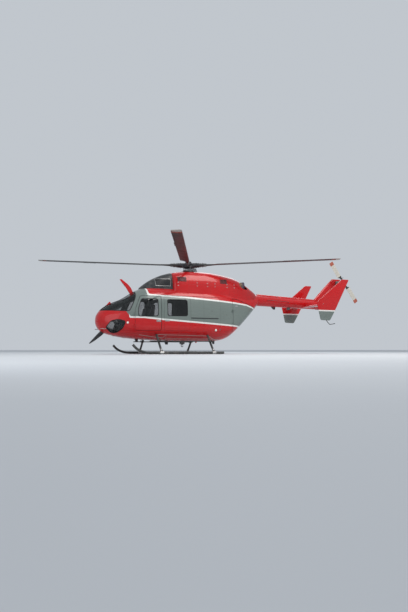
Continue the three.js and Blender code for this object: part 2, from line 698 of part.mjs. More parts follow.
for (const [name, x] of Object.entries(CROSS_TUBES)) add(`cross_tube_${name}`, "black", crossTubeSeated(x));
add("intake_fairing", "black", deckShell(FAIRING_SECTIONS));
add("engine_cowling", "red", engineCowling());
add("main_gearbox", "steel", mainGearbox());
add("rotor_mast", "steel", rotorMast());
add("rotor_hub", "black", rotorHub());
for (let i = 0; i < 4; i++) addGeometry(`rotor_blade_${i + 1}`, "blade", rotorBlade(i));
add("tail_boom", "red", tailBoom());
add("tail_fin", "red", tailFinSolid);
add("stabiliser", "red", stabiliserSolid(0));
add("tail_bumper", "black", tailBumper());
add("tail_gearbox", "black", tailGearbox());
add("tail_rotor", "blade", tailRotor());
add("upper_cutter", "red", upperCutter());
add("lower_cutter", "black", lowerCutter());
add("hook_plate", "steel", hookPlate());

const footprint = new THREE.Box3().setFromObject(helicopter);
const centre = footprint.getCenter(new THREE.Vector3());
helicopter.position.set(-centre.x, -centre.y, -footprint.min.z);

export default helicopter;
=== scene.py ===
# %% [markdown]
# A light twin-engine helicopter, parked on its skids.
#
# The packed model is the frame: where each part is and what it rides on. This lesson puts the
# finished surfaces on it, one step at a time. Each step says what the real thing is, how it could
# be made in Blender, and why this way was chosen.

# %% The frame
import json
import math

import bmesh
import bpy
from mathutils import Matrix, Vector
from mathutils.bvhtree import BVHTree


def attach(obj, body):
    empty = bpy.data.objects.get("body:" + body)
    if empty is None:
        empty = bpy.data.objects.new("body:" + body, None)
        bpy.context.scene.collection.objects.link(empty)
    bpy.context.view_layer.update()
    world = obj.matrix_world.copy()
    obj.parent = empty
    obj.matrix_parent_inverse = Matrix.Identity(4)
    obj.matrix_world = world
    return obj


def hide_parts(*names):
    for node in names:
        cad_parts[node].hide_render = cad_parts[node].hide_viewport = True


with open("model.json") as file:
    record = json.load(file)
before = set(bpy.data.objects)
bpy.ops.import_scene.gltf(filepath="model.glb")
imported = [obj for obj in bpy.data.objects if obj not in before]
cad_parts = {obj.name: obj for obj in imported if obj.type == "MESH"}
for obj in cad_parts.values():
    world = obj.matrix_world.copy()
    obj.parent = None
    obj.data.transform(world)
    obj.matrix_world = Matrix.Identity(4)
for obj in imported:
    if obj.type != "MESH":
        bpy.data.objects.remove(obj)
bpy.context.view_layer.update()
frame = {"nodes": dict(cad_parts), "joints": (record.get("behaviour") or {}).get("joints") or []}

# %% [markdown]
# Drawings of a helicopter start at the rotor mast, because lift and balance do. So every piece here
# is built from the mast and moved to the frame's origin once, when it is finished. The mast's place
# comes from the joint that the main rotor turns on.

# %% The mast
joints = {joint["name"]: joint for joint in frame["joints"]}
MAST = joints["main_rotor_spin"]["pos_m"][0]
HUB_HEIGHT = joints["main_rotor_spin"]["pos_m"][2]
SIDES = (("left", 1), ("right", -1))
print("mast at x =", round(MAST, 3), "and rotor head at z =", round(HUB_HEIGHT, 3))

# %% [markdown]
# The photograph looks up at the aircraft from its port side, a little ahead of abeam. This one is
# parked on a floor, so the camera keeps that side and goes down to the floor's level. A long lens
# keeps the photograph's proportions.

# %% Camera
CAMERA_DISTANCE = 22.0
CAMERA_HEIGHT = 0.15
CAMERA_BEARING = Vector((0.395, 0.918, 0.0))  # from the aircraft towards the camera, level
VIEW_CENTRE = Vector((MAST - 0.62, 0.0, 1.75))
FRAME_HEIGHT = 22.4  # metres that the picture's height spans at the aircraft
SENSOR = 36.0


def added(name, data):
    """A new object in the scene, of a mesh, a light or a camera."""
    made = bpy.data.objects.new(name, data)
    bpy.context.scene.collection.objects.link(made)
    return made


def aim(held, place, target):
    """Puts a light or a camera at a place and turns it towards a target."""
    held.location = place
    held.rotation_mode = "QUATERNION"
    held.rotation_quaternion = (target - place).to_track_quat("-Z", "Y")


camera_data = bpy.data.cameras.new("camera")
camera_data.sensor_width = SENSOR
camera_data.lens = SENSOR * CAMERA_DISTANCE / FRAME_HEIGHT
camera_data.clip_end = 2000.0
camera_place = VIEW_CENTRE + CAMERA_BEARING * CAMERA_DISTANCE
camera_place.z = CAMERA_HEIGHT
camera = added("camera", camera_data)
aim(camera, camera_place, VIEW_CENTRE)
bpy.context.scene.camera = camera
print("lens", round(camera_data.lens, 1), "mm at", CAMERA_DISTANCE, "m")

# %% [markdown]
# A studio for something this large is a pale floor and a few wide lights. Area lights many metres
# across soften every shadow's edge, and a pale world fills the shaded belly. The lights themselves
# are hidden from the camera.

# %% Light
LIGHTS = {  # place from the studio's middle, size in metres, watts and colour
    "key": ((-3.0, 10.0, 14.0), 11.0, 1900.0, (1.0, 0.975, 0.94)),
    "fill": ((13.0, 12.0, 4.0), 10.0, 350.0, (0.92, 0.96, 1.0)),
    "rim": ((-7.0, -12.0, 12.0), 11.0, 800.0, (0.95, 0.98, 1.0)),
}
WORLD_COLOUR = (0.74, 0.79, 0.85, 1.0)
WORLD_STRENGTH = 0.72
STUDIO_MIDDLE = Vector((MAST - 1.0, 0.0, 1.5))

for light_name, (light_place, size, watts, colour) in LIGHTS.items():
    light = bpy.data.lights.new(light_name, "AREA")
    light.size = size
    light.energy = watts
    light.color = colour
    holder = added(light_name, light)
    aim(holder, STUDIO_MIDDLE + Vector(light_place), STUDIO_MIDDLE)
    holder.visible_camera = False

world = bpy.data.worlds.new("studio")
world.use_nodes = True
sky = world.node_tree.nodes["Background"].inputs
sky["Color"].default_value = WORLD_COLOUR
sky["Strength"].default_value = WORLD_STRENGTH
bpy.context.scene.world = world
bpy.context.scene.view_settings.view_transform = "Standard"
print(len(LIGHTS), "area lights and a pale world")

# %% [markdown]
# Shader maths reads best as plain formulas. A small class stands for one output of a node, and its
# operators add the Math nodes, so a * b + c here is a * b + c in the material.

# %% Shader maths


def worked(operation, reflected=False):
    """An operator that adds one Math node; reflected says that the wire stands on its right."""
    if reflected:
        return lambda wire, other: wire.finish.maths(operation, other, wire)
    return lambda wire, *others: wire.finish.maths(operation, wire, *others)


class Wire:
    """One output socket of a node, which Python's operators can work on."""

    def __init__(self, finish, socket):
        self.finish = finish
        self.socket = socket

    __add__ = worked("ADD")
    __sub__ = worked("SUBTRACT")
    __rsub__ = worked("SUBTRACT", reflected=True)
    __mul__ = worked("MULTIPLY")
    __truediv__ = worked("DIVIDE")
    __abs__ = worked("ABSOLUTE")
    below = worked("LESS_THAN")
    above = worked("GREATER_THAN")
    either = worked("MAXIMUM")
    fraction = worked("FRACT")

    def repeat(self, pitch):
        """How far from the middle of its repeat a point is, from 0 to 0.5 of the pitch."""
        return abs((self / pitch).fraction() - 0.5)


print("a wire's own words:", ", ".join(name for name in vars(Wire) if name[0] != "_"))

# %% [markdown]
# Every finish is one Principled shader and the nodes that feed it. A small class holds the tree, so
# that any node comes from one method, which links wires and sets plain values alike.

# %% Node trees


class Tree:
    """A material and its node tree, ending in one Principled shader."""

    def __init__(self, name, **uniform):
        self.material = bpy.data.materials.new(name)
        self.material.use_nodes = True
        self.tree = self.material.node_tree
        self.tree.nodes.clear()
        self.shader = self.tree.nodes.new("ShaderNodeBsdfPrincipled")
        self.out = self.tree.nodes.new("ShaderNodeOutputMaterial")
        self.tree.links.new(self.shader.outputs[0], self.out.inputs["Surface"])
        self.set(**uniform)

    def set(self, **sockets):
        """Links or sets the shader's sockets, whose names are written with underscores."""
        for name, value in sockets.items():
            self.plug(self.shader.inputs[name.replace("_", " ")], value)
        return self.material

    def plug(self, target, value):
        """Links a wire to a socket, or sets a number or an opaque colour on it."""
        if isinstance(value, Wire):
            self.tree.links.new(value.socket, target)
        else:
            target.default_value = (*value, 1.0) if target.type == "RGBA" else value

    def node(self, kind, settings=None, sockets=None, output=0):
        made = self.tree.nodes.new(kind)
        for key, value in (settings or {}).items():
            setattr(made, key, value)
        for key, value in (sockets or {}).items():
            self.plug(made.inputs[key], value)
        return Wire(self, made.outputs[output])

    def maths(self, operation, *values):
        return self.node("ShaderNodeMath", {"operation": operation}, dict(enumerate(values)))


print("a tree can", ", ".join(name for name in vars(Tree) if name[0] != "_"))

# %% [markdown]
# A finish is a recipe of places, noises, mixes and spans. They get short names, so that each finish
# below reads as what it is made of, and most end with a colour, a roughness and a relief.

# %% Finishes


class Finish(Tree):
    """A node tree with short names for the nodes that come up often."""

    def parts(self, vector):
        axes = range(3)
        return [self.node("ShaderNodeSeparateXYZ", sockets={0: vector}, output=axis) for axis in axes]

    def spot(self):
        """The point's x from the mast, its y and its z, as three numbers."""
        x, y, z = self.parts(self.node("ShaderNodeTexCoord", output="Object"))
        return x - MAST, y, z

    def wrap(self):
        """How far along and how far round a wrapped piece the point lies, each from 0 to 1."""
        return self.parts(self.node("ShaderNodeUVMap", {"uv_map": "wrap"}))[:2]

    def noise(self, scale, detail=3.0, rough=0.5, stretch=(1, 1, 1)):
        spot = self.node("ShaderNodeTexCoord", output="Object")
        scaled = self.node("ShaderNodeMapping", sockets={"Vector": spot, "Scale": stretch})
        return self.node("ShaderNodeTexNoise", sockets={
            "Vector": scaled, "Scale": scale, "Detail": detail, "Roughness": rough})

    def mix(self, share, first, second):
        colours = {0: share, 6: first, 7: second}
        return self.node("ShaderNodeMix", {"data_type": "RGBA"}, colours, output=2)

    def span(self, value, low, high, to_low=0.0, to_high=1.0):
        """Moves a value from one range to another and holds it there."""
        return self.node("ShaderNodeMapRange", {"clamp": True}, {
            "Value": value, "From Min": low, "From Max": high, "To Min": to_low, "To Max": to_high})

    def ramp(self, value, stops):
        """A colour for a value, from stops that each say where from 0 to 1 and which colour."""
        ramp = self.node("ShaderNodeValToRGB", sockets={0: value})
        elements = ramp.socket.node.color_ramp.elements
        for index, (place, colour) in enumerate(stops):
            stop = elements[index] if index < 2 else elements.new(place)
            stop.position = place
            stop.color = (*colour, 1.0)
        return ramp

    def surface(self, base, rough, relief, depth, strength, **others):
        """Sets the colour, the roughness and a relief of this depth in metres."""
        bump = self.node("ShaderNodeBump", sockets={
            "Height": relief, "Distance": depth, "Strength": strength})
        return self.set(Base_Color=base, Roughness=rough, Normal=bump, **others)


print("a finish can also", ", ".join(name for name in vars(Finish) if name[0] != "_"))

# %% [markdown]
# Aircraft paint is a hard, glossy two-part coat. In service it fades a little, gathers grime low
# down and behind openings, and shows a fine orange peel close up. Every painted piece ages the same
# way, so one helper adds the wear to the colour that lies under it.

# %% Paint and its wear
RED = (0.53, 0.004, 0.006)
GREY = (0.165, 0.2, 0.182)
WHITE = (0.8, 0.8, 0.76)
PALE = (0.44, 0.46, 0.43)
SOOT = (0.03, 0.022, 0.02)
DUST = (0.6, 0.56, 0.5)
CHALK = (0.42, 0.4, 0.38)
PEEL_SCALE = 300.0  # orange peel, about 3 mm from crest to crest
PAINT_RELIEF = 0.0015
SEAM_HALF = 0.0025  # half the width of a seam's groove
RIVET_AWAY = 0.02  # from the seam
RIVET_RADIUS = 0.0038
RIVET_PITCH = 0.045
GLOSS = {"Specular_IOR_Level": 0.22, "Coat_Weight": 0.55, "Coat_Roughness": 0.05}


def worn_paint(finish, z, base, marks=0.0, low_grime=0.45):
    """Feeds a painted finish: marks is a height from -1 (a groove) to 1 (a rivet) on the surface."""
    fade = finish.noise(1.7, 4.0, 0.6)
    base = finish.mix(finish.span(fade, 0.42, 0.85, 0.0, 0.035), base, CHALK)
    streak = finish.noise(2.6, 6.0, 0.65, (0.35, 1.5, 1.5))
    grime = finish.span(streak, 0.45, 0.8) * finish.span(z, 0.45, 1.1, low_grime, 0.07)
    base = finish.mix(grime, base, SOOT)
    height = finish.noise(PEEL_SCALE, 1.0) * 0.05
    if isinstance(marks, Wire):
        base = finish.mix(abs(marks) * 0.55, base, SOOT)
        height = height + marks
    rough = finish.span(streak, 0.3, 0.8, 0.2, 0.4)
    return finish.surface(base, rough, height, PAINT_RELIEF, 0.55)


def seams(x, z, stations, levels=()):
    """Grooves across the hull at stations and along it at levels, with rivets on both sides."""
    groove = None
    rivets = None
    for value, other, places in ((x, z, stations), (z, x, levels)):
        for place in places:
            off = abs(value - place)
            line = off.below(SEAM_HALF)
            dots = abs(off - RIVET_AWAY).below(RIVET_RADIUS) * other.repeat(RIVET_PITCH).below(0.09)
            groove = line if groove is None else groove.either(line)
            rivets = dots if rivets is None else rivets.either(dots)
    return rivets * 0.45 - groove


print("paint helpers ready")

# %% [markdown]
# The aircraft is red, with a wide grey band along each side from the windscreen to the rear doors,
# edged by thin white lines, and a fine pale trace below it. The real lines are masked out on the
# finished airframe, straight across doors and panels. So one finish does it for all of them: it
# works out how far a point lies from each line, and smooth minimum and maximum nodes round their
# turns.

# %% Livery of the cabin
LINE_HALF = 0.028  # half the width of a white line
LOWER_LINE = [(2.6, 1.25), (1.9, 1.245), (1.26, 1.19), (0.0, 1.11), (-1.2, 1.03), (-2.6, 0.93)]
UPPER_LINE = [
    (1.8, 2.03), (1.0, 2.0), (0.4, 1.98), (-0.6, 1.91), (-1.5, 1.845), (-2.1, 1.79), (-2.7, 1.62),
]
FINE_LINES = (  # a thin trace low on each side, with one jump in it, and a second line above it
    [(2.02, 0.66), (1.62, 0.6), (1.18, 0.555), (1.1, 0.655), (1.02, 0.505), (0.95, 0.53), (-0.7, 0.53),
     (-1.05, 0.5)],
    [(1.44, 0.67), (-0.5, 0.635), (-0.74, 0.53)],
)
FINE_HALF = 0.006
LOWER_END = -1.84  # where the lower line turns down
UPPER_FRONT = 1.74  # where the upper line crosses the roof
NOSE_EDGE = (2.4, 1.288)  # the red nose starts here, and further forward higher up
NOSE_LEAN = 0.66
LIVERY_END = 2.41
HULL_STATIONS = (2.72, 0.66, -0.28, -0.93)
HULL_LEVELS = (0.7,)


def line_height(finish, x, points):
    """Height of a line through (x, z) points that run from front to back."""
    height = points[0][1]
    for (x0, z0), (x1, z1) in zip(points, points[1:]):
        height = finish.span(x, x0, x1, 0.0, z1 - z0) + height
    return height


def on_line(finish, x, z, points, half):
    """Is 1 on a line through (x, z) points, from its first point to its last."""
    off = abs(z - line_height(finish, x, points))
    return off.below(half) * x.below(points[0][0]) * x.above(points[-1][0])


def cabin_paint():
    finish = Finish("cabin_paint", **GLOSS)
    x, y, z = finish.spot()
    below = finish.maths("SMOOTH_MIN", line_height(finish, x, LOWER_LINE) - z, x - LOWER_END, 0.25)
    ahead = x - NOSE_EDGE[0] - (z - NOSE_EDGE[1]) * NOSE_LEAN
    lower_red = finish.maths("SMOOTH_MAX", below, ahead, 0.03)
    upper_red = finish.maths("SMOOTH_MIN", z - line_height(finish, x, UPPER_LINE), UPPER_FRONT - x, 0.15)
    red = lower_red.either(upper_red)
    line = abs(lower_red).below(LINE_HALF).either(abs(upper_red).below(LINE_HALF))
    line = line * x.below(LIVERY_END)
    base = finish.mix(red.above(0.0), GREY, RED)
    base = finish.mix(line, base, WHITE)
    trace, above = [on_line(finish, x, z, points, FINE_HALF) for points in FINE_LINES]
    base = finish.mix(trace.either(above), base, PALE)
    return worn_paint(finish, z, base, seams(x, z, HULL_STATIONS, HULL_LEVELS))


CABIN_PAINT = cabin_paint()
print("cabin paint:", len(CABIN_PAINT.node_tree.nodes), "nodes")

# %% [markdown]
# The cowling, the boom and the tail are plain red, and the fairing ahead of the cowling is dark. The
# stabiliser's end plates repeat the band: red above, grey below, with a white line between. They
# share the wear of the cabin's paint, and only the seams and the soot differ.

# %% Other paints
COWLING_STATIONS = (0.22, -0.62, -1.38)
COWLING_LEVELS = (2.46,)
BOOM_STATIONS = (-3.02, -3.68, -4.34, -5.0)
STABILISER_RIBS = (-0.86, -0.4, 0.4, 0.86)
STABILISER_SPARS = (-4.87, -5.22)
FIN_LEVELS = (2.08, 2.4, 2.72)
PLATE_LINE = 1.615
PLATE_LINE_HALF = 0.024
SOOT_LENGTH = 0.6


def plain_paint(name, colour, stations=(), levels=(), soot_from=None, ribs=()):
    """Stations are seams across x and levels seams across z; ribs are seams across y."""
    finish = Finish(name, **GLOSS)
    x, y, z = finish.spot()
    base = colour
    if soot_from is not None:
        cloud = finish.span(finish.noise(3.0, 5.0, 0.6, (0.3, 1, 1)), 0.35, 0.75)
        behind = finish.span(x, soot_from, soot_from - SOOT_LENGTH, 0.0, 0.5)
        base = finish.mix(cloud * behind, colour, SOOT)
    marks = 0.0
    if ribs:
        marks = seams(y, x, ribs, stations)
    elif stations or levels:
        marks = seams(x, z, stations, levels)
    return worn_paint(finish, z, base, marks, 0.2)


def end_plate_paint():
    finish = Finish("end_plate_paint", **GLOSS)
    x, y, z = finish.spot()
    base = finish.mix(z.above(PLATE_LINE), GREY, RED)
    base = finish.mix(abs(z - PLATE_LINE).below(PLATE_LINE_HALF), base, WHITE)
    return worn_paint(finish, z, base, 0.0, 0.1)


def satin_black(name, colour):
    """Satin black coat on tubes and fairings: scuffed pale where it sticks out, dusty elsewhere."""
    finish = Finish(name, Specular_IOR_Level=0.4)
    scuff = finish.span(finish.noise(38.0, 5.0, 0.7, (0.25, 1, 1)), 0.6, 0.74)
    edge = finish.span(finish.node("ShaderNodeNewGeometry", output="Pointiness"), 0.52, 0.6)
    dust = finish.span(finish.noise(5.0, 4.0, 0.6), 0.45, 0.8, 0.0, 0.16)
    base = finish.mix(dust, colour, DUST)
    base = finish.mix(scuff * 0.35 + edge * 0.25, base, (0.22, 0.21, 0.2))
    rough = finish.span(finish.noise(60.0, 3.0), 0.3, 0.7, 0.34, 0.55)
    return finish.surface(base, rough, finish.noise(420.0, 2.0), 0.0004, 0.3)


COWLING_PAINT = plain_paint("cowling_paint", RED, COWLING_STATIONS, COWLING_LEVELS, -1.9)
BOOM_PAINT = plain_paint("boom_paint", RED, BOOM_STATIONS)
STABILISER_PAINT = plain_paint("stabiliser_paint", RED, STABILISER_SPARS, ribs=STABILISER_RIBS)
FIN_PAINT = plain_paint("fin_paint", RED, levels=FIN_LEVELS)
FITTING_PAINT = plain_paint("fitting_paint", RED)
END_PLATE_PAINT = end_plate_paint()
DARK_PAINT = satin_black("dark_paint", (0.022, 0.024, 0.027))
GEAR_BLACK = satin_black("gear_black", (0.034, 0.037, 0.036))
print("plain paints ready")
# %% [markdown]
# Bare metal is a few nodes: a noise for the oil and dirt on it, and a finer one for both the gloss
# and the surface itself. Castings are duller than machined parts, and the exhausts run through straw
# and blue to soot, as steel does where it gets hot.

# %% Metals


def metal(name, colour, rough=(0.25, 0.45), grain=90.0, oil=0.3, metallic=1.0):
    finish = Finish(name, Metallic=metallic)
    patch = finish.span(finish.noise(9.0, 5.0, 0.6), 0.45, 0.8)
    base = finish.mix(patch * oil, colour, (0.06, 0.05, 0.045))
    fine = finish.noise(grain, 3.0, 0.6)
    return finish.surface(base, finish.span(fine, 0.3, 0.7, *rough), fine, 0.0006, 0.4)


def heated_steel():
    finish = Finish("heated_steel", Metallic=0.85)
    x, y, z = finish.spot()
    heat = finish.ramp(finish.span(x, -1.8, -2.12), (
        (0.0, (0.1, 0.085, 0.08)), (0.35, (0.3, 0.2, 0.12)), (0.62, (0.12, 0.11, 0.16)),
        (1.0, (0.028, 0.024, 0.022))))
    soot = finish.span(finish.noise(14.0, 4.0), 0.4, 0.7)
    rough = finish.span(finish.noise(40.0, 3.0), 0.3, 0.7, 0.35, 0.65)
    return finish.surface(finish.mix(soot * 0.5, heat, SOOT), rough, soot, 0.0008, 0.3)


ALLOY = metal("alloy", (0.46, 0.46, 0.45))
STEEL = metal("steel", (0.3, 0.3, 0.3), (0.22, 0.42), 160.0)
DARK_METAL = metal("dark_metal", (0.045, 0.045, 0.048), (0.35, 0.55), 120.0, 0.5, 0.6)
CASTING = metal("casting", (0.2, 0.205, 0.2), (0.45, 0.65), 240.0, 0.4, 0.7)
SHOE_STEEL = metal("shoe_steel", (0.26, 0.24, 0.22), (0.4, 0.7), 60.0, 0.7)
HEATED_STEEL = heated_steel()
print("metals ready, and", len(HEATED_STEEL.node_tree.nodes), "nodes for the heated one")

# %% [markdown]
# Rubber and moulded plastic are dull and pick up chalk and scuffs. Rubber's surface is a fine
# noise. Trim has the leather grain of its mould, which a Voronoi texture's cell walls give.

# %% Rubber and trim


def rubber():
    finish = Finish("rubber", Specular_IOR_Level=0.3)
    chalk = finish.span(finish.noise(25.0, 4.0), 0.5, 0.8)
    base = finish.mix(chalk * 0.25, (0.012, 0.012, 0.013), (0.11, 0.11, 0.105))
    rough = finish.span(chalk, 0.0, 1.0, 0.55, 0.8)
    return finish.surface(base, rough, finish.noise(500.0), 0.0004, 0.4)


def moulded_trim(name, colour, grain=900.0):
    finish = Finish(name, Specular_IOR_Level=0.35)
    worn = finish.span(finish.noise(12.0, 4.0), 0.55, 0.8)
    base = finish.mix(worn * 0.3, colour, (0.12, 0.12, 0.12))
    leather = finish.node("ShaderNodeTexVoronoi", {"feature": "DISTANCE_TO_EDGE"}, {
        "Vector": finish.node("ShaderNodeTexCoord", output="Object"), "Scale": grain})
    return finish.surface(base, finish.span(worn, 0.0, 1.0, 0.5, 0.68), leather, 0.0005, 0.5)


RUBBER = rubber()
TRIM = moulded_trim("trim", (0.045, 0.047, 0.05))
TRIM_PALE = moulded_trim("trim_pale", (0.3, 0.3, 0.29))
LINING = moulded_trim("lining", (0.155, 0.155, 0.15), 450.0)
print("rubber and", len((TRIM, TRIM_PALE, LINING)), "trims ready")

# %% [markdown]
# Rotor blades are dark composite with a weave under the paint. The main ones have a bright metal
# strip on the leading edge, a red band and a pale tip, and the tail ones a dark root, a pale outer
# half and a red tip, so that people see the disc. The marks lie at shares of the blade's length,
# which its wrap map gives.

# %% Blade finishes
BLADE_MARKS = {"strip": 0.4545, "band": (0.8015, 0.8126), "tip": 0.8145}  # shares from root to tip
TAIL_BLADE_MARKS = {"pale": 0.4, "red": 0.74}
STRIP_EDGE = 0.905  # the strip covers what lies nearer than this to the leading edge, which is 1


def blade_skin():
    finish = Finish("blade_skin")
    along, around = finish.wrap()
    nose = finish.span(abs(around - 0.5), 0.0, 0.5, 1.0, 0.0)
    strip = nose.above(STRIP_EDGE) * along.above(BLADE_MARKS["strip"])
    weave = finish.noise(700.0, 1.0, 0.5, (1, 1, 0.2))
    streak = finish.span(finish.noise(6.0, 6.0, 0.7, (0.3, 1, 1)), 0.35, 0.8)
    base = finish.mix(streak * 0.35, (0.022, 0.021, 0.021), (0.085, 0.078, 0.07))
    band = along.above(BLADE_MARKS["band"][0]) * along.below(BLADE_MARKS["band"][1])
    base = finish.mix(band, base, (0.26, 0.055, 0.035))
    base = finish.mix(along.above(BLADE_MARKS["tip"]), base, (0.4, 0.37, 0.33))
    base = finish.mix(strip, base, (0.16, 0.155, 0.15))
    rough = finish.span(streak, 0.0, 1.0, 0.32, 0.55) - strip * 0.08
    return finish.surface(base, rough, weave * 0.25 + strip * 0.8, 0.0006, 0.4, Metallic=strip * 0.8)


def tail_blade_skin():
    finish = Finish("tail_blade_skin")
    along, around = finish.wrap()
    streak = finish.span(finish.noise(16.0, 5.0, 0.65), 0.4, 0.8)
    base = finish.mix(along.above(TAIL_BLADE_MARKS["pale"]), (0.03, 0.03, 0.032), (0.6, 0.57, 0.5))
    base = finish.mix(along.above(TAIL_BLADE_MARKS["red"]), base, (0.42, 0.1, 0.06))
    base = finish.mix(streak * 0.25, base, (0.2, 0.17, 0.14))
    return finish.surface(base, finish.span(streak, 0.0, 1.0, 0.35, 0.55), streak, 0.0005, 0.3)


BLADE_SKIN = blade_skin()
TAIL_BLADE_SKIN = tail_blade_skin()
print("blade finishes ready, marks at", BLADE_MARKS)

# %% [markdown]
# Windows are stretched acrylic, a little smoked. From outside they look dark, because the cabin is
# dark, and turn to a mirror at a flat angle. A thin see-through sheet with a Fresnel factor gives
# both, for far less render time than two refracting surfaces, and a faint haze of dust keeps it
# from looking perfect.

# %% Glass and lamps
ACRYLIC_IOR = 1.49


def smoked_glass():
    finish = Finish("smoked_glass", Base_Color=(0.016, 0.02, 0.019), IOR=ACRYLIC_IOR,
                    Coat_Weight=1.0, Coat_Roughness=0.02)
    haze = finish.span(finish.noise(5.0, 5.0, 0.6), 0.45, 0.85)
    rim = finish.node("ShaderNodeFresnel", sockets={"IOR": ACRYLIC_IOR})
    alpha = finish.span(rim, 0.04, 0.55, 0.26, 0.94) + haze * 0.06
    return finish.set(Alpha=alpha, Roughness=finish.span(haze, 0.0, 1.0, 0.02, 0.1))


def lamp_glass(name, colour, glow):
    finish = Finish(name, Emission_Strength=glow, Coat_Weight=1.0)
    ribs = (finish.spot()[2] * 180.0).fraction()
    base = finish.mix(ribs, colour, [channel * 0.6 for channel in colour])
    return finish.surface(base, 0.15, ribs, 0.0008, 0.5, Emission_Color=base)


GLASS = smoked_glass()
LAMP_CLEAR = lamp_glass("lamp_clear", (0.9, 0.88, 0.82), 0.3)
LAMP_RED = lamp_glass("lamp_red", (0.55, 0.012, 0.01), 0.25)
LAMP_GREEN = lamp_glass("lamp_green", (0.01, 0.3, 0.08), 0.25)
LAMP_DARK = lamp_glass("lamp_dark", (0.05, 0.05, 0.055), 0.0)
print("glass and lamps ready")

# %% [markdown] Every new mesh ends the same way: doubles merged, moved from the mast to the frame,
# and its sharp edges marked. Most of the aircraft is airframe, which is what a piece rides on
# unless it says otherwise.

# %% Finishing a piece
SHARP_ANGLE = math.radians(31)


def piece(name, shape, material, replaces=(), body="airframe"):
    bmesh.ops.remove_doubles(shape, verts=shape.verts, dist=1e-5)
    bmesh.ops.dissolve_degenerate(shape, dist=1e-5, edges=shape.edges)
    bmesh.ops.translate(shape, verts=shape.verts, vec=(MAST, 0, 0))
    for face in shape.faces:
        face.smooth = True
    for edge in shape.edges:
        edge.smooth = edge.is_manifold and edge.calc_face_angle(0.0) < SHARP_ANGLE
    mesh = bpy.data.meshes.new(name)
    shape.to_mesh(mesh)
    shape.free()
    mesh.materials.append(material)
    made = added(name, mesh)
    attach(made, body)
    if replaces:
        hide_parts(*replaces)
    return made


def join(shape, other):
    """Adds another bmesh to a bmesh and frees the other."""
    held = bpy.data.meshes.new("joined")
    other.to_mesh(held)
    other.free()
    shape.from_mesh(held)
    bpy.data.meshes.remove(held)


def mirrored(shape, side):
    """The shape itself on the left, its mirror image on the right."""
    if side < 0:
        bmesh.ops.scale(shape, vec=(1, -1, 1), verts=shape.verts)
        bmesh.ops.reverse_faces(shape, faces=shape.faces)
    return shape


print("piece helper ready")

# %% [markdown]
# A few shapes come up again and again, and each is a bmesh operator or two. They add to the bmesh
# they are given, so that a fitting can be built of many. The plainest are a rod, a block with soft
# edges and a ball, put in place by a matrix.

# %% Rods, blocks and balls
MACHINED_EDGE = 0.6  # edges that turn more than this angle are bevelled


def aimed(start, end):
    """A matrix that puts a shape built along z midway between two points, aimed at the second."""
    start = Vector(start)
    end = Vector(end)
    turn = (end - start).to_track_quat("Z", "Y").to_matrix().to_4x4()
    return Matrix.Translation((start + end) / 2) @ turn


def rod(shape, start, end, radius, end_radius=None, sides=16):
    length = (Vector(end) - Vector(start)).length
    last = radius if end_radius is None else end_radius
    bmesh.ops.create_cone(shape, cap_ends=True, segments=sides, radius1=radius, radius2=last,
                          depth=length, matrix=aimed(start, end))


def block(shape, low, high, edge=0.0, turn=None):
    """A block between two corners, with its edges bevelled, turned about its own middle."""
    low = Vector(low)
    high = Vector(high)
    middle = Matrix.Translation((low + high) / 2)
    place = middle @ (turn or Matrix()) @ Matrix.Diagonal((*(high - low), 1.0))
    made = bmesh.ops.create_cube(shape, size=1.0, matrix=place)["verts"]
    if edge:
        rims = {rim for vert in made for rim in vert.link_edges if rim.calc_face_angle(0.0) > MACHINED_EDGE}
        bmesh.ops.bevel(shape, geom=list(rims), offset=edge, affect="EDGES", segments=2, profile=0.5,
                        material=-1)


def pad(shape, centre, size, edge):
    """A block by its centre and its whole size."""
    half = Vector(size) / 2
    block(shape, Vector(centre) - half, Vector(centre) + half, edge)


def ball(shape, centre, size, rings=10):
    place = Matrix.Translation(Vector(centre)) @ Matrix.Diagonal((*Vector(size), 1.0))
    bmesh.ops.create_uvsphere(shape, u_segments=rings * 2, v_segments=rings, radius=1.0, matrix=place)


print("rods, blocks and balls ready")

# %% [markdown]
# A turned part, such as a bush, a lens or a gearbox's neck, is its profile spun round an axis, just
# as a lathe makes it. The spin can leave the skin inside out, and the sign of the space that the
# skin encloses tells.

# %% Turned parts


def facing_out(shape, before):
    """Turns the faces that are new since before outwards, by the sign of what they enclose."""
    fresh = [face for face in shape.faces if face not in before]
    bmesh.ops.recalc_face_normals(shape, faces=fresh)
    inside = fresh[0].calc_center_median()
    slices = [(face.calc_center_median() - inside).dot(face.normal) * face.calc_area() for face in fresh]
    if sum(slices) < 0:
        bmesh.ops.reverse_faces(shape, faces=fresh)


def turned(shape, profile, start, end, steps=32):
    """A lathe: profile is (distance along the axis, radius); the axis runs from start towards end."""
    before = set(shape.faces)
    place = aimed(start, end)
    place.translation = Vector(start)
    verts = [shape.verts.new(place @ Vector((radius, 0, along))) for along, radius in profile]
    edges = [shape.edges.new(pair) for pair in zip(verts, verts[1:])]
    axis = (Vector(end) - Vector(start)).normalized()
    bmesh.ops.spin(shape, geom=verts + edges, cent=Vector(start), axis=axis, angle=math.tau, steps=steps,
                   use_merge=True)
    facing_out(shape, before)


print("turned parts ready")

# %% [markdown]
# Tubes bend smoothly between a few chosen points. A Catmull-Rom curve goes through the points
# themselves, so a route can be written down as places that the tube passes. The tube is a circle at
# each step of the curve, bridged to the next.

# %% Tubes


def between(before, start, end, after, share):
    """One point of a Catmull-Rom curve, for vectors and for plain numbers."""
    slope = (end - before) * share
    bend = (before * 2.0 - start * 5.0 + end * 4.0 - after) * share ** 2
    twist = (start * 3.0 - before - end * 3.0 + after) * share ** 3
    return (start * 2.0 + slope + bend + twist) * 0.5


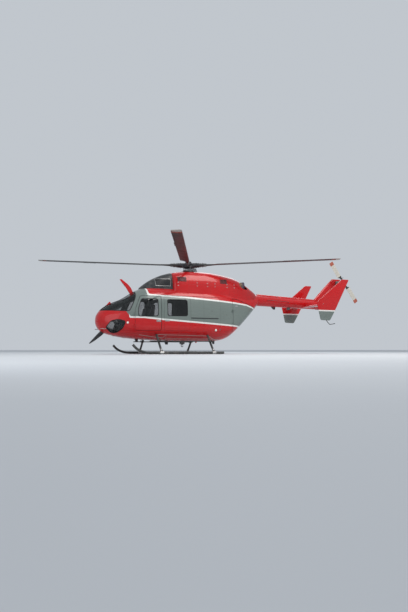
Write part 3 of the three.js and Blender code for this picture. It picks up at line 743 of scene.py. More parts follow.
def smoothed(route, steps):
    """Points of a Catmull-Rom curve through the route's points."""
    route = [Vector(point) for point in route]
    route = [route[0] * 2 - route[1], *route, route[-1] * 2 - route[-2]]
    points = []
    for before, start, end, after in zip(route, route[1:], route[2:], route[3:]):
        points += [between(before, start, end, after, step / steps) for step in range(steps)]
    return [*points, route[-2]]


def tube(shape, route, radius, sides=12, smooth=6):
    """A round tube along a smooth route: a circle at each point, bridged, with closed ends."""
    before = set(shape.faces)
    points = smoothed(route, smooth)
    rings = []
    for index, point in enumerate(points):
        ahead = points[min(index + 1, len(points) - 1)] - points[max(index - 1, 0)]
        place = Matrix.Translation(point) @ ahead.to_track_quat("Z", "Y").to_matrix().to_4x4()
        verts = bmesh.ops.create_circle(shape, segments=sides, radius=radius, matrix=place)["verts"]
        rings.append(list({edge for vert in verts for edge in vert.link_edges}))
    for ring, after in zip(rings, rings[1:]):
        bmesh.ops.bridge_loops(shape, edges=ring + after)
    bmesh.ops.holes_fill(shape, edges=rings[0] + rings[-1], sides=0)
    facing_out(shape, before)


print("tubes ready")

# %% [markdown]
# Flat parts are outlines in the side view, pushed through with rounded corners. Curved skins are
# one flat grid, each point of which a formula sends onto the shape. The grid's own square becomes
# a UV map, so that a finish can ask how far along or round the piece it is.

# %% Outlines and skins


def outline_grown(corners, amount):
    """An outline whose sides are all moved outwards by the same amount."""
    spots = [Vector(corner) for corner in corners]
    turns = sum(spot.cross(after) for spot, after in zip(spots, spots[1:] + spots[:1]))
    step = amount if turns > 0 else -amount
    grown = []
    for before, spot, after in zip(spots[-1:] + spots[:-1], spots, spots[1:] + spots[:1]):
        into = (spot - before).normalized()
        out = (after - spot).normalized()
        across = Vector((into.y + out.y, -into.x - out.x))
        grown.append(tuple(spot + across * step / (1.0 + into.dot(out))))
    return grown


def of_kind(items, kind):
    """The vertices, edges or faces among what an operator gives back."""
    return [item for item in items if isinstance(item, kind)]


def pushed(corners, low, high, corner=0.0):
    """An outline of (x, z) corners pushed from y = low to y = high, with its corners rounded."""
    shape = bmesh.new()
    face = shape.faces.new([shape.verts.new((x, low, z)) for x, z in corners])
    if corner:
        bmesh.ops.bevel(shape, geom=list(face.verts), offset=corner, affect="VERTICES", segments=5,
                        profile=0.5, material=-1)
    moved = bmesh.ops.extrude_face_region(shape, geom=shape.faces[:], use_keep_orig=True)["geom"]
    far_side = of_kind(moved, bmesh.types.BMVert)
    bmesh.ops.translate(shape, verts=far_side, vec=(0.0, high - low, 0.0))
    bmesh.ops.recalc_face_normals(shape, faces=shape.faces)
    return shape


def wrapped(along, around, place):
    """A closed skin: place() sends a flat grid onto the shape, sewn at its seam and ends."""
    shape = bmesh.new()
    bmesh.ops.create_grid(shape, x_segments=along, y_segments=around, size=0.5)
    layer = shape.loops.layers.uv.new("wrap")
    for face in shape.faces:
        for loop in face.loops:
            loop[layer].uv = (loop.vert.co.x + 0.5, loop.vert.co.y + 0.5)
    for vert in shape.verts:
        vert.co = place(vert.co.x + 0.5, vert.co.y + 0.5)
    bmesh.ops.remove_doubles(shape, verts=shape.verts, dist=1e-6)
    bmesh.ops.holes_fill(shape, edges=[edge for edge in shape.edges if edge.is_boundary], sides=0)
    bmesh.ops.recalc_face_normals(shape, faces=shape.faces)
    return shape


print("outlines and skins ready")

# %% [markdown]
# Panels are cut out of one skin, as doors are cut out of one sheet. A Boolean modifier does it: two
# closed meshes go in, one comes out. The manifold solver is exact and takes a fraction of a second
# on meshes like these.

# %% Cutting


def as_object(shape):
    mesh = bpy.data.meshes.new("cutting")
    shape.to_mesh(mesh)
    return added("cutting", mesh)


def combined(first, operation, second):
    """The boolean of two closed bmeshes, as a new bmesh; both stay as they are."""
    base = as_object(first)
    tool = as_object(second)
    change = base.modifiers.new("cut", "BOOLEAN")
    change.operation = operation
    change.solver = "MANIFOLD"
    change.object = tool
    bpy.context.view_layer.update()
    result = bmesh.new()
    evaluated = base.evaluated_get(bpy.context.evaluated_depsgraph_get())
    result.from_mesh(evaluated.to_mesh())
    evaluated.to_mesh_clear()
    for used in (base, tool):
        mesh = used.data
        bpy.data.objects.remove(used)
        bpy.data.meshes.remove(mesh)
    return result


def cut(shape, *tools):
    for tool in tools:
        shape = combined(shape, "DIFFERENCE", tool)
    return shape


def kept(shape, region):
    return combined(shape, "INTERSECT", region)


print("cutting helpers ready")

# %% [markdown]
# The cabin's skin is one smooth body from nose to tail boom. Twenty sections across it say its whole
# shape, each a superellipse above the waist and another below. They are the frame's own sections,
# with a smooth curve through them and many more points round each one.

# %% The skin
SECTIONS = [  # x, bottom, waist, top, half width, power above the waist, power below it
    (3.400, 1.110, 1.160, 1.210, 0.050, 2.0, 2.0), (3.365, 0.960, 1.150, 1.330, 0.190, 2.0, 2.0),
    (3.270, 0.815, 1.130, 1.470, 0.330, 2.1, 2.0), (3.090, 0.710, 1.100, 1.620, 0.465, 2.2, 2.1),
    (2.850, 0.635, 1.070, 1.750, 0.580, 2.3, 2.2), (2.560, 0.580, 1.050, 1.870, 0.665, 2.5, 2.3),
    (2.290, 0.545, 1.050, 2.030, 0.722, 2.7, 2.4), (2.040, 0.520, 1.050, 2.190, 0.760, 2.9, 2.5),
    (1.780, 0.500, 1.050, 2.285, 0.785, 3.1, 2.6), (1.400, 0.480, 1.050, 2.320, 0.800, 3.3, 2.6),
    (0.700, 0.460, 1.050, 2.325, 0.800, 3.4, 2.6), (0.000, 0.450, 1.050, 2.325, 0.800, 3.4, 2.6),
    (-0.700, 0.450, 1.060, 2.320, 0.795, 3.4, 2.6), (-1.150, 0.490, 1.090, 2.305, 0.772, 3.2, 2.5),
    (-1.450, 0.600, 1.150, 2.280, 0.730, 3.0, 2.4), (-1.750, 0.830, 1.270, 2.250, 0.655, 2.8, 2.3),
    (-2.050, 1.110, 1.430, 2.235, 0.550, 2.6, 2.2), (-2.350, 1.400, 1.640, 2.230, 0.425, 2.4, 2.1),
    (-2.600, 1.650, 1.870, 2.226, 0.300, 2.2, 2.0), (-2.750, 1.795, 2.010, 2.224, 0.220, 2.0, 2.0),
]
WALL = 0.04
NOSE_FROM = 2.7  # ahead of this station the wall also has a thickness along x
NOSE_LENGTH = 0.6
THINNEST = 0.008  # what is left of a section that is smaller than its wall
HULL_ALONG = 76
HULL_AROUND = 96


def section_at(share, table):
    """The table's row at a share of its length, on a smooth curve through the rows."""
    place = share * (len(table) - 1)
    index = min(int(place), len(table) - 2)
    rows = [table[max(0, min(len(table) - 1, index + step))] for step in (-1, 0, 1, 2)]
    return [between(*values, place - index) for values in zip(*rows)]


def rounded(value, power):
    return math.copysign(abs(value) ** (2.0 / power), value)


def hull_point(share, angle, inset):
    x, bottom, waist, top, half_width, upper, lower = section_at(share, SECTIONS)
    x -= inset * min(max((x - NOSE_FROM) / NOSE_LENGTH, 0.0), 1.0)
    if share > 0.999:
        x += inset
    above = math.sin(angle) >= 0
    power = upper if above else lower
    height = max((top - waist if above else waist - bottom) - inset, THINNEST)
    y = max(half_width - inset, THINNEST) * rounded(math.cos(angle), power)
    return Vector((x, y, waist + height * rounded(math.sin(angle), power)))


def hull(inset):
    return wrapped(HULL_ALONG, HULL_AROUND, lambda u, v: hull_point(u, math.tau * v, inset))


OUTER = hull(0.0)
INNER = hull(WALL)
print("hull:", len(OUTER.faces), "faces a skin")

# %% [markdown]
# Everything that stands on the skin has to ask where the skin is. The sections answer that: the one
# nearest the place is looked up, and its superellipse gives how far out or how high it lies.

# %% Places on the skin


def nearest_section(x, table, steps=400):
    """The smooth row of a table that lies closest to a station."""
    rows = [section_at(step / steps, table) for step in range(steps + 1)]
    return min(rows, key=lambda row: abs(row[0] - x))


def reach(share, power):
    """How far a superellipse of size 1 reaches across at a share of its height."""
    return max(0.0, 1.0 - min(1.0, abs(share)) ** power) ** (1.0 / power)


def side_at(x, z):
    """How far out the skin lies at a place on its side."""
    _, bottom, waist, top, half_width, upper, lower = nearest_section(x, SECTIONS)
    power, height = (upper, top - waist) if z >= waist else (lower, waist - bottom)
    return half_width * reach((z - waist) / height, power)


def height_at(x, y, upper_side):
    """How high the skin lies at a place on its roof or its belly."""
    _, bottom, waist, top, half_width, upper, lower = nearest_section(x, SECTIONS)
    power, height = (upper, top - waist) if upper_side else (lower, bottom - waist)
    return waist + height * reach(y / half_width, power)


print("cabin is", round(2 * side_at(0.0, 1.05), 3), "m wide at the mast")

# %% [markdown]
# Doors and windows are drawn in the side view, with rounded corners that keep cracks from starting,
# and each opening is pushed through the skin on its own side. The doors' panels are a little smaller
# than their openings, which leaves a gap round them; the panels' cut edges are dark, partly rubber
# seal and partly painted shade, so that the gap shows dark.

# %% Openings and windows
FAR = 4.0
SIDE_FROM = 0.06  # an opening is pushed outwards from here, so that it cuts its own side only
POST_HALF = 0.028  # half of the windscreen's middle post
SEAT_GAP = 0.0003
EDGE_DEPTH = 0.004  # deeper faces of a panel are its cut edges or its inside
DOOR_CORNER = 0.07
WINDOW_CORNER = 0.075
SEAL_WIDTH = 0.022
CLAMSHELL_FRONT = -1.45
COCKPIT_OPENING = [(1.29, 0.8), (2.22, 0.8), (2.22, 1.5), (2.01, 2.0), (1.29, 2.0)]
COCKPIT_DOOR = [(1.305, 0.81), (2.21, 0.81), (2.21, 1.5), (2.0, 1.99), (1.305, 1.99)]
SLIDING_OPENING = [(0.215, 0.8), (1.2, 0.8), (1.2, 2.0), (0.215, 2.0)]
SLIDING_DOOR = outline_grown(SLIDING_OPENING, -0.005)
WINDOWS = {
    "cockpit": [(2.11, 1.265), (1.4, 1.29), (1.4, 1.9), (1.985, 1.9), (2.11, 1.56)],
    "sliding": [(1.085, 1.3), (0.33, 1.31), (0.33, 1.895), (1.085, 1.895)],
    "chin": [
        (3.15, 0.9), (3.0, 1.13), (2.76, 1.185), (2.51, 1.12), (2.6, 0.86), (2.78, 0.7), (2.96, 0.715),
    ],
    "windscreen": [(3.4, 1.48), (2.385, 1.44), (2.15, 1.92), (2.06, 2.3), (3.4, 2.3)],
}


def window_cutter(name, side, grow=0.0):
    start = POST_HALF - grow if name == "windscreen" else SIDE_FROM
    return mirrored(pushed(outline_grown(WINDOWS[name], grow), start, FAR, WINDOW_CORNER), side)


def opening(corners, side):
    return mirrored(pushed(corners, SIDE_FROM, FAR, DOOR_CORNER), side)


def shell_part(region):
    return cut(kept(OUTER, region), INNER)


def skin_layer(outside, inside):
    """A thin layer of the skin between two depths below its surface."""
    return cut(hull(outside), hull(inside))


OUTER_TREE = BVHTree.FromBMesh(OUTER)


def lined(made):
    """Dark trim on a panel's cut edges, partly rubber seal and partly painted shade in the gaps, and a grey
    lining inside, by depth below the skin.
    """
    made.data.materials.append(TRIM)
    made.data.materials.append(LINING)
    for face in made.data.polygons:
        depth = OUTER_TREE.find_nearest(face.center - Vector((MAST, 0, 0)))[3]
        # Cut edges get the dark trim: partly rubber seal, partly painted shade that keeps the gaps dark.
        if depth > EDGE_DEPTH:
            face.material_index = 2 if depth > WALL - EDGE_DEPTH else 1
    print(made.name, len(made.data.polygons), "faces")


GLASS_LAYER = skin_layer(0.01, 0.016)
SEAL_LAYER = skin_layer(-0.0025, 0.0095)
print("glass and seal layers:", len(GLASS_LAYER.faces), len(SEAL_LAYER.faces), "faces")

# %% [markdown]
# The fixed panels are the belly, the nose, the roof with its door posts, and the two walls behind
# the sliding doors. The real ones are mouldings or riveted sheets, joined edge to edge. Each one
# here is the skin inside its own region of the side view, less the openings.

# %% Fixed panels
REGIONS = {
    "belly_shell": [(CLAMSHELL_FRONT, 0.0), (FAR, 0.0), (FAR, 0.7985), (CLAMSHELL_FRONT, 0.7985)],
    "nose_shell": [(2.14, 0.8), (FAR, 0.8), (FAR, 1.3985), (2.14, 1.3985)],
    "upper_shell": [
        (2.14, 1.4), (FAR, 1.4), (FAR, FAR), (-FAR, FAR), (-FAR, 1.675), (-2.63, 1.675),
        (-1.65, 2.0), (0.285, 2.0), (0.285, 0.8), (2.14, 0.8),
    ],
    "side_wall": [(CLAMSHELL_FRONT, 0.8), (0.285, 0.8), (0.285, 1.9985), (CLAMSHELL_FRONT, 1.9985)],
}
CROSS_TUBES = {"front": 1.44, "rear": -0.46}
CROSS_TUBE_RADIUS = 0.036
CROSS_ROUTE = [
    (0.0, 0.72), (0.4, 0.715), (0.59, 0.69), (0.74, 0.61), (0.96, 0.365), (1.25, 0.062),
]


def cross_tube_shape(x, grow=0.0, sides=20):
    half = [(x, y, z) for y, z in CROSS_ROUTE]
    other_half = [(x, -y, z) for x, y, z in reversed(half[1:])]
    shape = bmesh.new()
    tube(shape, other_half + half, CROSS_TUBE_RADIUS + grow, sides, 5)
    return shape


def fixed_panel(name):
    shape = shell_part(pushed(REGIONS[name], -FAR, FAR))
    for side_name, side in SIDES:
        shape = cut(shape, opening(COCKPIT_OPENING, side), opening(SLIDING_OPENING, side))
        for window in ("chin", "windscreen"):
            shape = cut(shape, window_cutter(window, side))
    if name == "belly_shell":
        for x in CROSS_TUBES.values():
            shape = cut(shape, cross_tube_shape(x, 0.004))
    return shape


for name in ("belly_shell", "nose_shell", "upper_shell"):
    lined(piece(f"{name}_skin", fixed_panel(name), CABIN_PAINT, (name,)))

for side_name, side in SIDES:
    region = mirrored(pushed(REGIONS["side_wall"], 0.02, FAR), side)
    wall = cut(shell_part(region), opening(SLIDING_OPENING, side))
    name = f"side_wall_{side_name}"
    lined(piece(f"{name}_skin", wall, CABIN_PAINT, (name,)))
print("fixed panels cut")

# %% [markdown]
# The cockpit doors swing on hinges at their front edge, the sliding doors run aft on rails, and the
# two clamshell doors open the cabin's rear end for a stretcher. They come from the same skin, so
# they close flush. Each swinging door has its own body, and what sits on a door rides with it.

# %% Doors
CLAMSHELL_OUTLINE = [
    (CLAMSHELL_FRONT - 0.01, 0.0), (CLAMSHELL_FRONT - 0.01, 1.98), (-1.65, 1.98), (-2.63, 1.655),
    (-FAR, 1.655), (-FAR, 0.0),
]
DOORS = {  # outline, corner radius, and where from the middle the door begins
    "cockpit": (COCKPIT_DOOR, 0.06, SIDE_FROM), "sliding": (SLIDING_DOOR, 0.06, SIDE_FROM),
    "clamshell": (CLAMSHELL_OUTLINE, 0.0, 0.005),
}
DOOR_BODIES = {"cockpit": "{}_cockpit_door", "clamshell": "{}_clamshell"}


def body_of(name, side_name):
    """The body that a door and its fittings ride on: its own, or else the airframe."""
    return DOOR_BODIES.get(name, "airframe").format(side_name)


for side_name, side in SIDES:
    for name, (outline, corner, start) in DOORS.items():
        node = f"{name}_door_{side_name}"
        panel = shell_part(mirrored(pushed(outline, start, FAR, corner), side))
        if name in WINDOWS:
            panel = cut(panel, window_cutter(name, side))
        lined(piece(f"{node}_skin", panel, CABIN_PAINT, (node,), body_of(name, side_name)))
print(len(DOORS) * len(SIDES), "doors cut")

# %% [markdown]
# Each pane sits a little inside the skin in a black rubber seal. The pane is a thin layer of the
# same body, so its curve follows the skin's. The seal is a ring between two outlines of the window,
# which the eye reads as the window's edge.

# %% Panes and seals
PANES = {
    "cockpit": "cockpit_door_window", "sliding": "sliding_door_window", "chin": "chin_window",
    "windscreen": "windscreen",
}
for window, node in PANES.items():
    for side_name, side in SIDES:
        body = body_of(window, side_name)
        pane = kept(GLASS_LAYER, window_cutter(window, side, -0.001))
        piece(f"{window}_pane_{side_name}", pane, GLASS, (f"{node}_{side_name}",), body)
        ring = cut(window_cutter(window, side, -0.0005), window_cutter(window, side, -SEAL_WIDTH))
        piece(f"{window}_seal_{side_name}", kept(SEAL_LAYER, ring), RUBBER, (), body)
print(len(PANES) * len(SIDES), "panes, each in its seal")

# %% [markdown]
# The swinging doors hang on outside hinges. Each hinge is two leaves with a knuckle, bolted to the
# skin, and they turn on one pin: the lower knuckle stays with the airframe and the upper one swings.
# A leaf is a flat block, a web carries its knuckle, and the livery's paint runs over both.

# %% Hinges
HINGES = {"cockpit": (2.232, 0.764, (0.93, 1.29)), "clamshell": (-1.444, 0.762, (1.0, 1.5))}
KNUCKLE_RADIUS = 0.012
KNUCKLE_LENGTH = 0.052
LEAF = (0.014, 0.066)  # from the pin to the leaf's near and far edge
LEAF_PROUD = 0.005


def hinge_half(name, side, rise, direction):
    x, y, heights = HINGES[name]
    shape = bmesh.new()
    for height in heights:
        low = height + rise
        high = low + KNUCKLE_LENGTH - 0.001
        rod(shape, (x, y, low), (x, y, high), KNUCKLE_RADIUS, sides=20)
        near, far = (x + direction * away for away in LEAF)
        skin = min(side_at(near, low), side_at(far, low))
        outer = max(side_at(near, low), side_at(far, low)) + LEAF_PROUD
        block(shape, (min(near, far), skin - 0.008, low), (max(near, far), outer, high), 0.002)
        web = sorted((x, near))
        block(shape, (web[0] - 0.003, skin - 0.004, low + 0.006), (web[1] + 0.003, y, high - 0.006), 0.002)
        for bolt in (0.25, 0.75):
            spot = Vector(((near + far) / 2, outer - 0.002, low + bolt * KNUCKLE_LENGTH))
            rod(shape, spot, spot + Vector((0, 0.006, 0)), 0.006, sides=6)
    return mirrored(shape, side)


for side_name, side in SIDES:
    for name in HINGES:
        fixed = hinge_half(name, side, 0.0, 1)
        piece(f"{name}_hinge_fixed_{side_name}", fixed, CABIN_PAINT)
        swinging = hinge_half(name, side, KNUCKLE_LENGTH + 0.001, -1)
        body = body_of(name, side_name)
        piece(f"{name}_hinge_door_{side_name}", swinging, CABIN_PAINT, (), body)
print("hinges made, pins at x =", [pin[0] for pin in HINGES.values()])

# %% [markdown]
# A handle lies almost flush, so that it catches neither air nor a sleeve: a lever in a shallow dish,
# with a lock beside it. It leans with the door's skin, whose slope comes from two heights.

# %% Handles
DISH = (0.62, 0.03)  # half the length, as a share of the lever's, and half the height
SLOPE_STEP = 0.05
HANDLES = {  # place, length and turn of the lever
    "cockpit": (1.4, 1.13, 0.13, 0.0), "sliding": (1.09, 1.15, 0.13, 0.0),
    "clamshell": (-1.6, 1.72, 0.1, 0.3),
}


def handle(x, z, length, turn, side):
    shape = bmesh.new()
    y = side_at(x, z)
    slope = (side_at(x, z + SLOPE_STEP) - side_at(x, z - SLOPE_STEP)) / (2 * SLOPE_STEP)
    tilt = Matrix.Rotation(math.atan(slope), 4, "X") @ Matrix.Rotation(turn, 4, "Y")
    half = length * DISH[0]
    block(shape, (x - half, y - 0.006, z - DISH[1]), (x + half, y + 0.0015, z + DISH[1]), 0.003, tilt)
    lever = (x - length * 0.45, x + length * 0.5)
    block(shape, (lever[0], y + 0.0015, z - 0.011), (lever[1], y + 0.014, z + 0.011), 0.004, tilt)
    lock = (x + length * 0.42, y - 0.004, z)
    rod(shape, lock, (lock[0], y + 0.019, z), 0.016, 0.014, 20)
    return mirrored(shape, side)


for side_name, side in SIDES:
    for name, settings in HANDLES.items():
        body = body_of(name, side_name)
        piece(f"{name}_handle_{side_name}", handle(*settings, side), ALLOY, body=body)
print("handles made")

# %% [markdown]
# A sliding door hangs on rails that are let into the skin above it and behind it. A rail is a channel
# that follows the skin, so it is a band of a slightly larger body with a slot cut along its middle.

# %% Rails
RAIL_PROUD = 0.01
UPPER_RAIL = (2.01, 1.18, -0.86, 0.024)  # height, front, back and width
LOWER_RAIL = (1.24, 0.205, -0.84, 0.026)


def band_between(low, high, x_front, x_back, outside, inside, side):
    """The part of a layer of the skin inside a long low rectangle of the side view."""
    corners = [(x_back, low), (x_front, low), (x_front, high), (x_back, high)]
    return kept(skin_layer(-outside, -inside), mirrored(pushed(corners, 0.3, FAR), side))


def rail(z, x_front, x_back, width, side):
    band = band_between(z, z + width, x_front, x_back, RAIL_PROUD, -0.004, side)
    slot = band_between(z + width * 0.35, z + width * 0.65, x_front - 0.02, x_back + 0.02,
                        RAIL_PROUD + 0.01, RAIL_PROUD - 0.006, side)
    return cut(band, slot)


for side_name, side in SIDES:
    piece(f"upper_rail_{side_name}", rail(*UPPER_RAIL, side), CABIN_PAINT)
    piece(f"lower_rail_{side_name}", rail(*LOWER_RAIL, side), DARK_METAL)
print("rails made")

# %% [markdown]
# The red cowling on the roof houses both engines and the main gearbox, and the dark fairing ahead of
# it leads air to the intakes. Both are thin shells, wrapped round a row of squarish sections that
# start inside the roof. The skin then cuts them off, so they sit on it all round.

# %% Upper deck
DECK = 1.95
DECK_POWER = 3.4
COVER_WALL = 0.025
FAIRING = [  # station, half width, top
    (1.84, 0.230, 2.33), (1.70, 0.330, 2.44), (1.45, 0.400, 2.61), (1.10, 0.430, 2.78), (0.76, 0.440, 2.88),
]
COWLING = [
    (0.758, 0.480, 2.790), (0.690, 0.555, 2.880), (0.400, 0.605, 2.940), (0.000, 0.620, 2.960),
    (-0.700, 0.610, 2.950), (-1.200, 0.580, 2.890), (-1.700, 0.530, 2.780), (-2.100, 0.445, 2.600),
    (-2.450, 0.330, 2.400), (-2.640, 0.250, 2.270),
]
FAIRING_STEPS = 30
COWLING_STEPS = 54
MAST_OPENING = 0.205
SUNK = 0.2  # how far a cover reaches down into the roof before the skin cuts it
EXHAUST = {"front": Vector((-1.79, 0.262, 2.48)), "back": Vector((-2.085, 0.352, 2.512))}
EXHAUST_RADIUS = 0.145
EXHAUST_CLEAR = 0.003
GROWN = hull(-SEAT_GAP)


def deck_cover(table, inset, along, ends=0.0):
    def place(u, v):
        x, half_width, top = section_at(u, table)
        x += ends * (1.0 if u > 0.999 else -1.0 if u < 0.001 else 0.0)
        angle = math.tau * v
        height = top - inset - DECK if math.sin(angle) >= 0 else SUNK
        y = (half_width - inset) * rounded(math.cos(angle), DECK_POWER)
        return Vector((x, y, DECK + height * rounded(math.sin(angle), DECK_POWER)))

    return wrapped(along, 80, place)


def deck_shell(table, along):
    solid = deck_cover(table, 0.0, along)
    hollow = deck_cover(table, COVER_WALL, along, COVER_WALL)
    return cut(solid, hollow, GROWN)


def exhaust_line(share, side):
    """A point on an exhaust's axis: 0 at its root and 1 at its mouth."""
    spot = EXHAUST["front"].lerp(EXHAUST["back"], share)
    return Vector((spot.x, spot.y * side, spot.z))


holes = bmesh.new()
rod(holes, (0, 0, 2.5), (0, 0, 3.1), MAST_OPENING, sides=48)
cowling = cut(deck_shell(COWLING, COWLING_STEPS), holes)
for side_name, side in SIDES:
    holes = bmesh.new()
    width = EXHAUST_RADIUS + EXHAUST_CLEAR
    rod(holes, exhaust_line(-0.4, side), exhaust_line(1.4, side), width, sides=48)
    cowling = cut(cowling, holes)
piece("engine_cowling_skin", cowling, COWLING_PAINT, ("engine_cowling",))
piece("intake_fairing_skin", deck_shell(FAIRING, FAIRING_STEPS), DARK_PAINT,
      ("intake_fairing",))
print("cowling and fairing on the roof")

# %% [markdown]
# The engines breathe through grilles in the fairing, and hot air leaves by louvres in the cowling.
# Both follow their cover's curve, so each set is a thin layer of the cover itself, kept only inside
# a stack of flat slabs. Thin tubes frame the intakes.

# %% Grilles and louvres
LAYER = (-0.009, 0.004)  # a slat's outside and inside, as depths below the cover's surface
SLAT_SHARE = 0.28  # half a slat's height, as a share of their pitch
FRAME_WIDTH = 0.007
FRAME_STEPS = 8


def cover_at(x, z, table):
    """How far out a deck cover's side is at a place."""
    _, half_width, top = nearest_section(x, table)
    return half_width * reach(max(0.0, (z - DECK) / (top - DECK)), DECK_POWER)


def cover_layer(table, along):
    """A thin layer that follows a deck cover's outside, as a closed shell."""
    outside, inside = (deck_cover(table, depth, along, depth) for depth in LAYER)
    return cut(outside, inside)


def louvres(layer, x_front, x_back, z_low, z_high, count, side):
    """Slats that follow a cover's side: the layer inside a stack of thin slabs."""
    slabs = bmesh.new()
    pitch = (z_high - z_low) / count
    for row in range(count):
        z = z_low + pitch * (row + 0.5)
        block(slabs, (x_back, 0.05, z - pitch * SLAT_SHARE), (x_front, FAR, z + pitch * SLAT_SHARE))
    return kept(layer, mirrored(slabs, side))


def grille_frame(x_front, x_back, z_low, z_high, side):
    """Four thin tubes on the fairing's side, round a grille."""
    shape = bmesh.new()
    corners = [(x_front, z_low), (x_back, z_low), (x_back, z_high), (x_front, z_high), (x_front, z_low)]
    for start, end in zip(corners, corners[1:]):
        spots = [Vector(start).lerp(Vector(end), step / FRAME_STEPS) for step in range(FRAME_STEPS + 1)]
        tube(shape, [(x, cover_at(x, z, FAIRING) + 0.001, z) for x, z in spots], FRAME_WIDTH, 8, 2)
    return mirrored(shape, side)


INTAKE_FRAME = (1.38, 0.84, 2.385, 2.635)  # front, back, low, high
FAIRING_LAYER = cover_layer(FAIRING, FAIRING_STEPS)
COWLING_LAYER = cover_layer(COWLING, COWLING_STEPS)
LOUVRES = {  # layer, front, back, low, high, slats
    "intake_grille": (FAIRING_LAYER, 1.36, 0.86, 2.4, 2.62, 9),
    "cowling_louvres": (COWLING_LAYER, -1.02, -1.3, 2.53, 2.7, 6),
    "cooling_louvres": (COWLING_LAYER, 0.62, 0.3, 2.55, 2.72, 6),
}
for side_name, side in SIDES:
    for name, settings in LOUVRES.items():
        piece(f"{name}_{side_name}", louvres(*settings, side), DARK_METAL)
    piece(f"intake_frame_{side_name}", grille_frame(*INTAKE_FRAME, side), ALLOY)
print("slats in each set:", {name: settings[-1] for name, settings in LOUVRES.items()})

# %% [markdown]
# Quarter-turn latches hold the cowling's panels along two lines, and a bolted collar closes it round
# the mast. Bolts in a ring come up often on a helicopter, so a helper puts them round any axis.

# %% Latches and collar
LATCH_STATIONS = (0.6, -0.1, -0.5, -0.8, -1.3, -1.6)
LATCH_HEIGHTS = (2.405, 2.515)
COLLAR_BASE = 2.955
COLLAR_PROFILE = [(0.0, 0.206), (0.0, 0.25), (0.004, 0.252), (0.02, 0.246), (0.03, 0.225),
                  (0.03, 0.207), (0.026, 0.204), (0.0, 0.206)]


def bolts(shape, count, place, ring, size, length, phase=0.0):
    """Hexagon bolts in a ring round the z axis of a place, pointing along it."""
    for step in range(count):
        angle = math.tau * step / count + phase
        foot = Vector((ring * math.cos(angle), ring * math.sin(angle), 0.0))
        rod(shape, place @ foot, place @ (foot + Vector((0, 0, length))), size, sides=6)


latches = bmesh.new()
for x in LATCH_STATIONS:
    for z in LATCH_HEIGHTS:
        for side_name, side in SIDES:
            y = cover_at(x, z, COWLING) * side
            pad(latches, (x, y, z), (0.044, 0.01, 0.024), 0.002)
            rod(latches, (x, y - side * 0.004, z), (x, y + side * 0.008, z), 0.007, sides=10)
piece("cowling_latches", latches, ALLOY)

collar = bmesh.new()
turned(collar, COLLAR_PROFILE, (0, 0, COLLAR_BASE), (0, 0, 3.2), 48)
bolts(collar, 16, Matrix.Translation((0, 0, COLLAR_BASE + 0.02)), 0.238, 0.006, 0.01, math.pi / 16)
piece("mast_collar", collar, DARK_METAL)
print("latches and collar made")

# %% [markdown]
# Each exhaust is a steel pipe, cut off flat, that blows outwards and back past the cowling. It has a
# rolled lip and, inside, a cone on three struts. Pipe and cone are turned shapes on one axis.

# %% Exhausts
PIPE_LENGTH = (EXHAUST["back"] - EXHAUST["front"]).length
PIPE = [(0.0, -0.012), (0.0, -0.001), (PIPE_LENGTH - 0.012, -0.002), (PIPE_LENGTH - 0.01, 0.0),
        (PIPE_LENGTH - 0.003, 0.0), (PIPE_LENGTH, -0.004), (PIPE_LENGTH, -0.008),
        (PIPE_LENGTH - 0.004, -0.01), (0.0, -0.012)]  # along the axis, and from the pipe's radius
CONE = [(0.005, 0.0), (0.005, 0.06), (0.05, 0.058), (0.13, 0.03), (0.17, 0.0)]
STRUTS = 3

for side_name, side in SIDES:
    pipe = bmesh.new()
    start = exhaust_line(0, side)
    end = exhaust_line(1, side)
    turned(pipe, [(along, EXHAUST_RADIUS + out) for along, out in PIPE], start, end, 48)
    turned(pipe, CONE, start, end, 32)
    spot = start.lerp(end, 0.1)
    for step in range(STRUTS):
        turn = math.tau * step / STRUTS
        arm = aimed(start, end).to_3x3() @ Vector((math.cos(turn), math.sin(turn), 0.0))
        rod(pipe, spot + arm * 0.05, spot + arm * (EXHAUST_RADIUS - 0.006), 0.01, sides=10)
    piece(f"exhaust_{side_name}_pipe", pipe, HEATED_STEEL, (f"exhaust_{side_name}",))
print("exhausts turned,", round(PIPE_LENGTH, 3), "m long")

# %% [markdown]
# A swashplate rides up and down the mast: its lower ring stays still, its upper ring turns, and four
# links carry its tilt up to the blades' roots. On the real one it is all turned metal and rods, and
# so it is here.

# %% Mast and swashplate
ROTOR_AZIMUTH = math.radians(-24.5)  # of the first blade, from straight ahead towards port
PRECONE = math.radians(2.3)
ROTOR_CENTRE = Vector((0, 0, HUB_HEIGHT))
BLADES = 4
MAST_PROFILE = [(0.0, 0.0), (0.0, 0.062), (0.1, 0.062), (0.104, 0.056), (0.116, 0.056), (0.1195, 0.0)]
SWASHPLATE = [
    (0.0, 0.066), (0.0, 0.175), (0.004, 0.195), (0.018, 0.195), (0.019, 0.183), (0.023, 0.183),
    (0.024, 0.192), (0.04, 0.192), (0.045, 0.172), (0.045, 0.09), (0.052, 0.08), (0.052, 0.066),
    (0.0, 0.066),
]


def around_mast(radius, angle, height):
    return Vector((radius * math.cos(angle), radius * math.sin(angle), height))


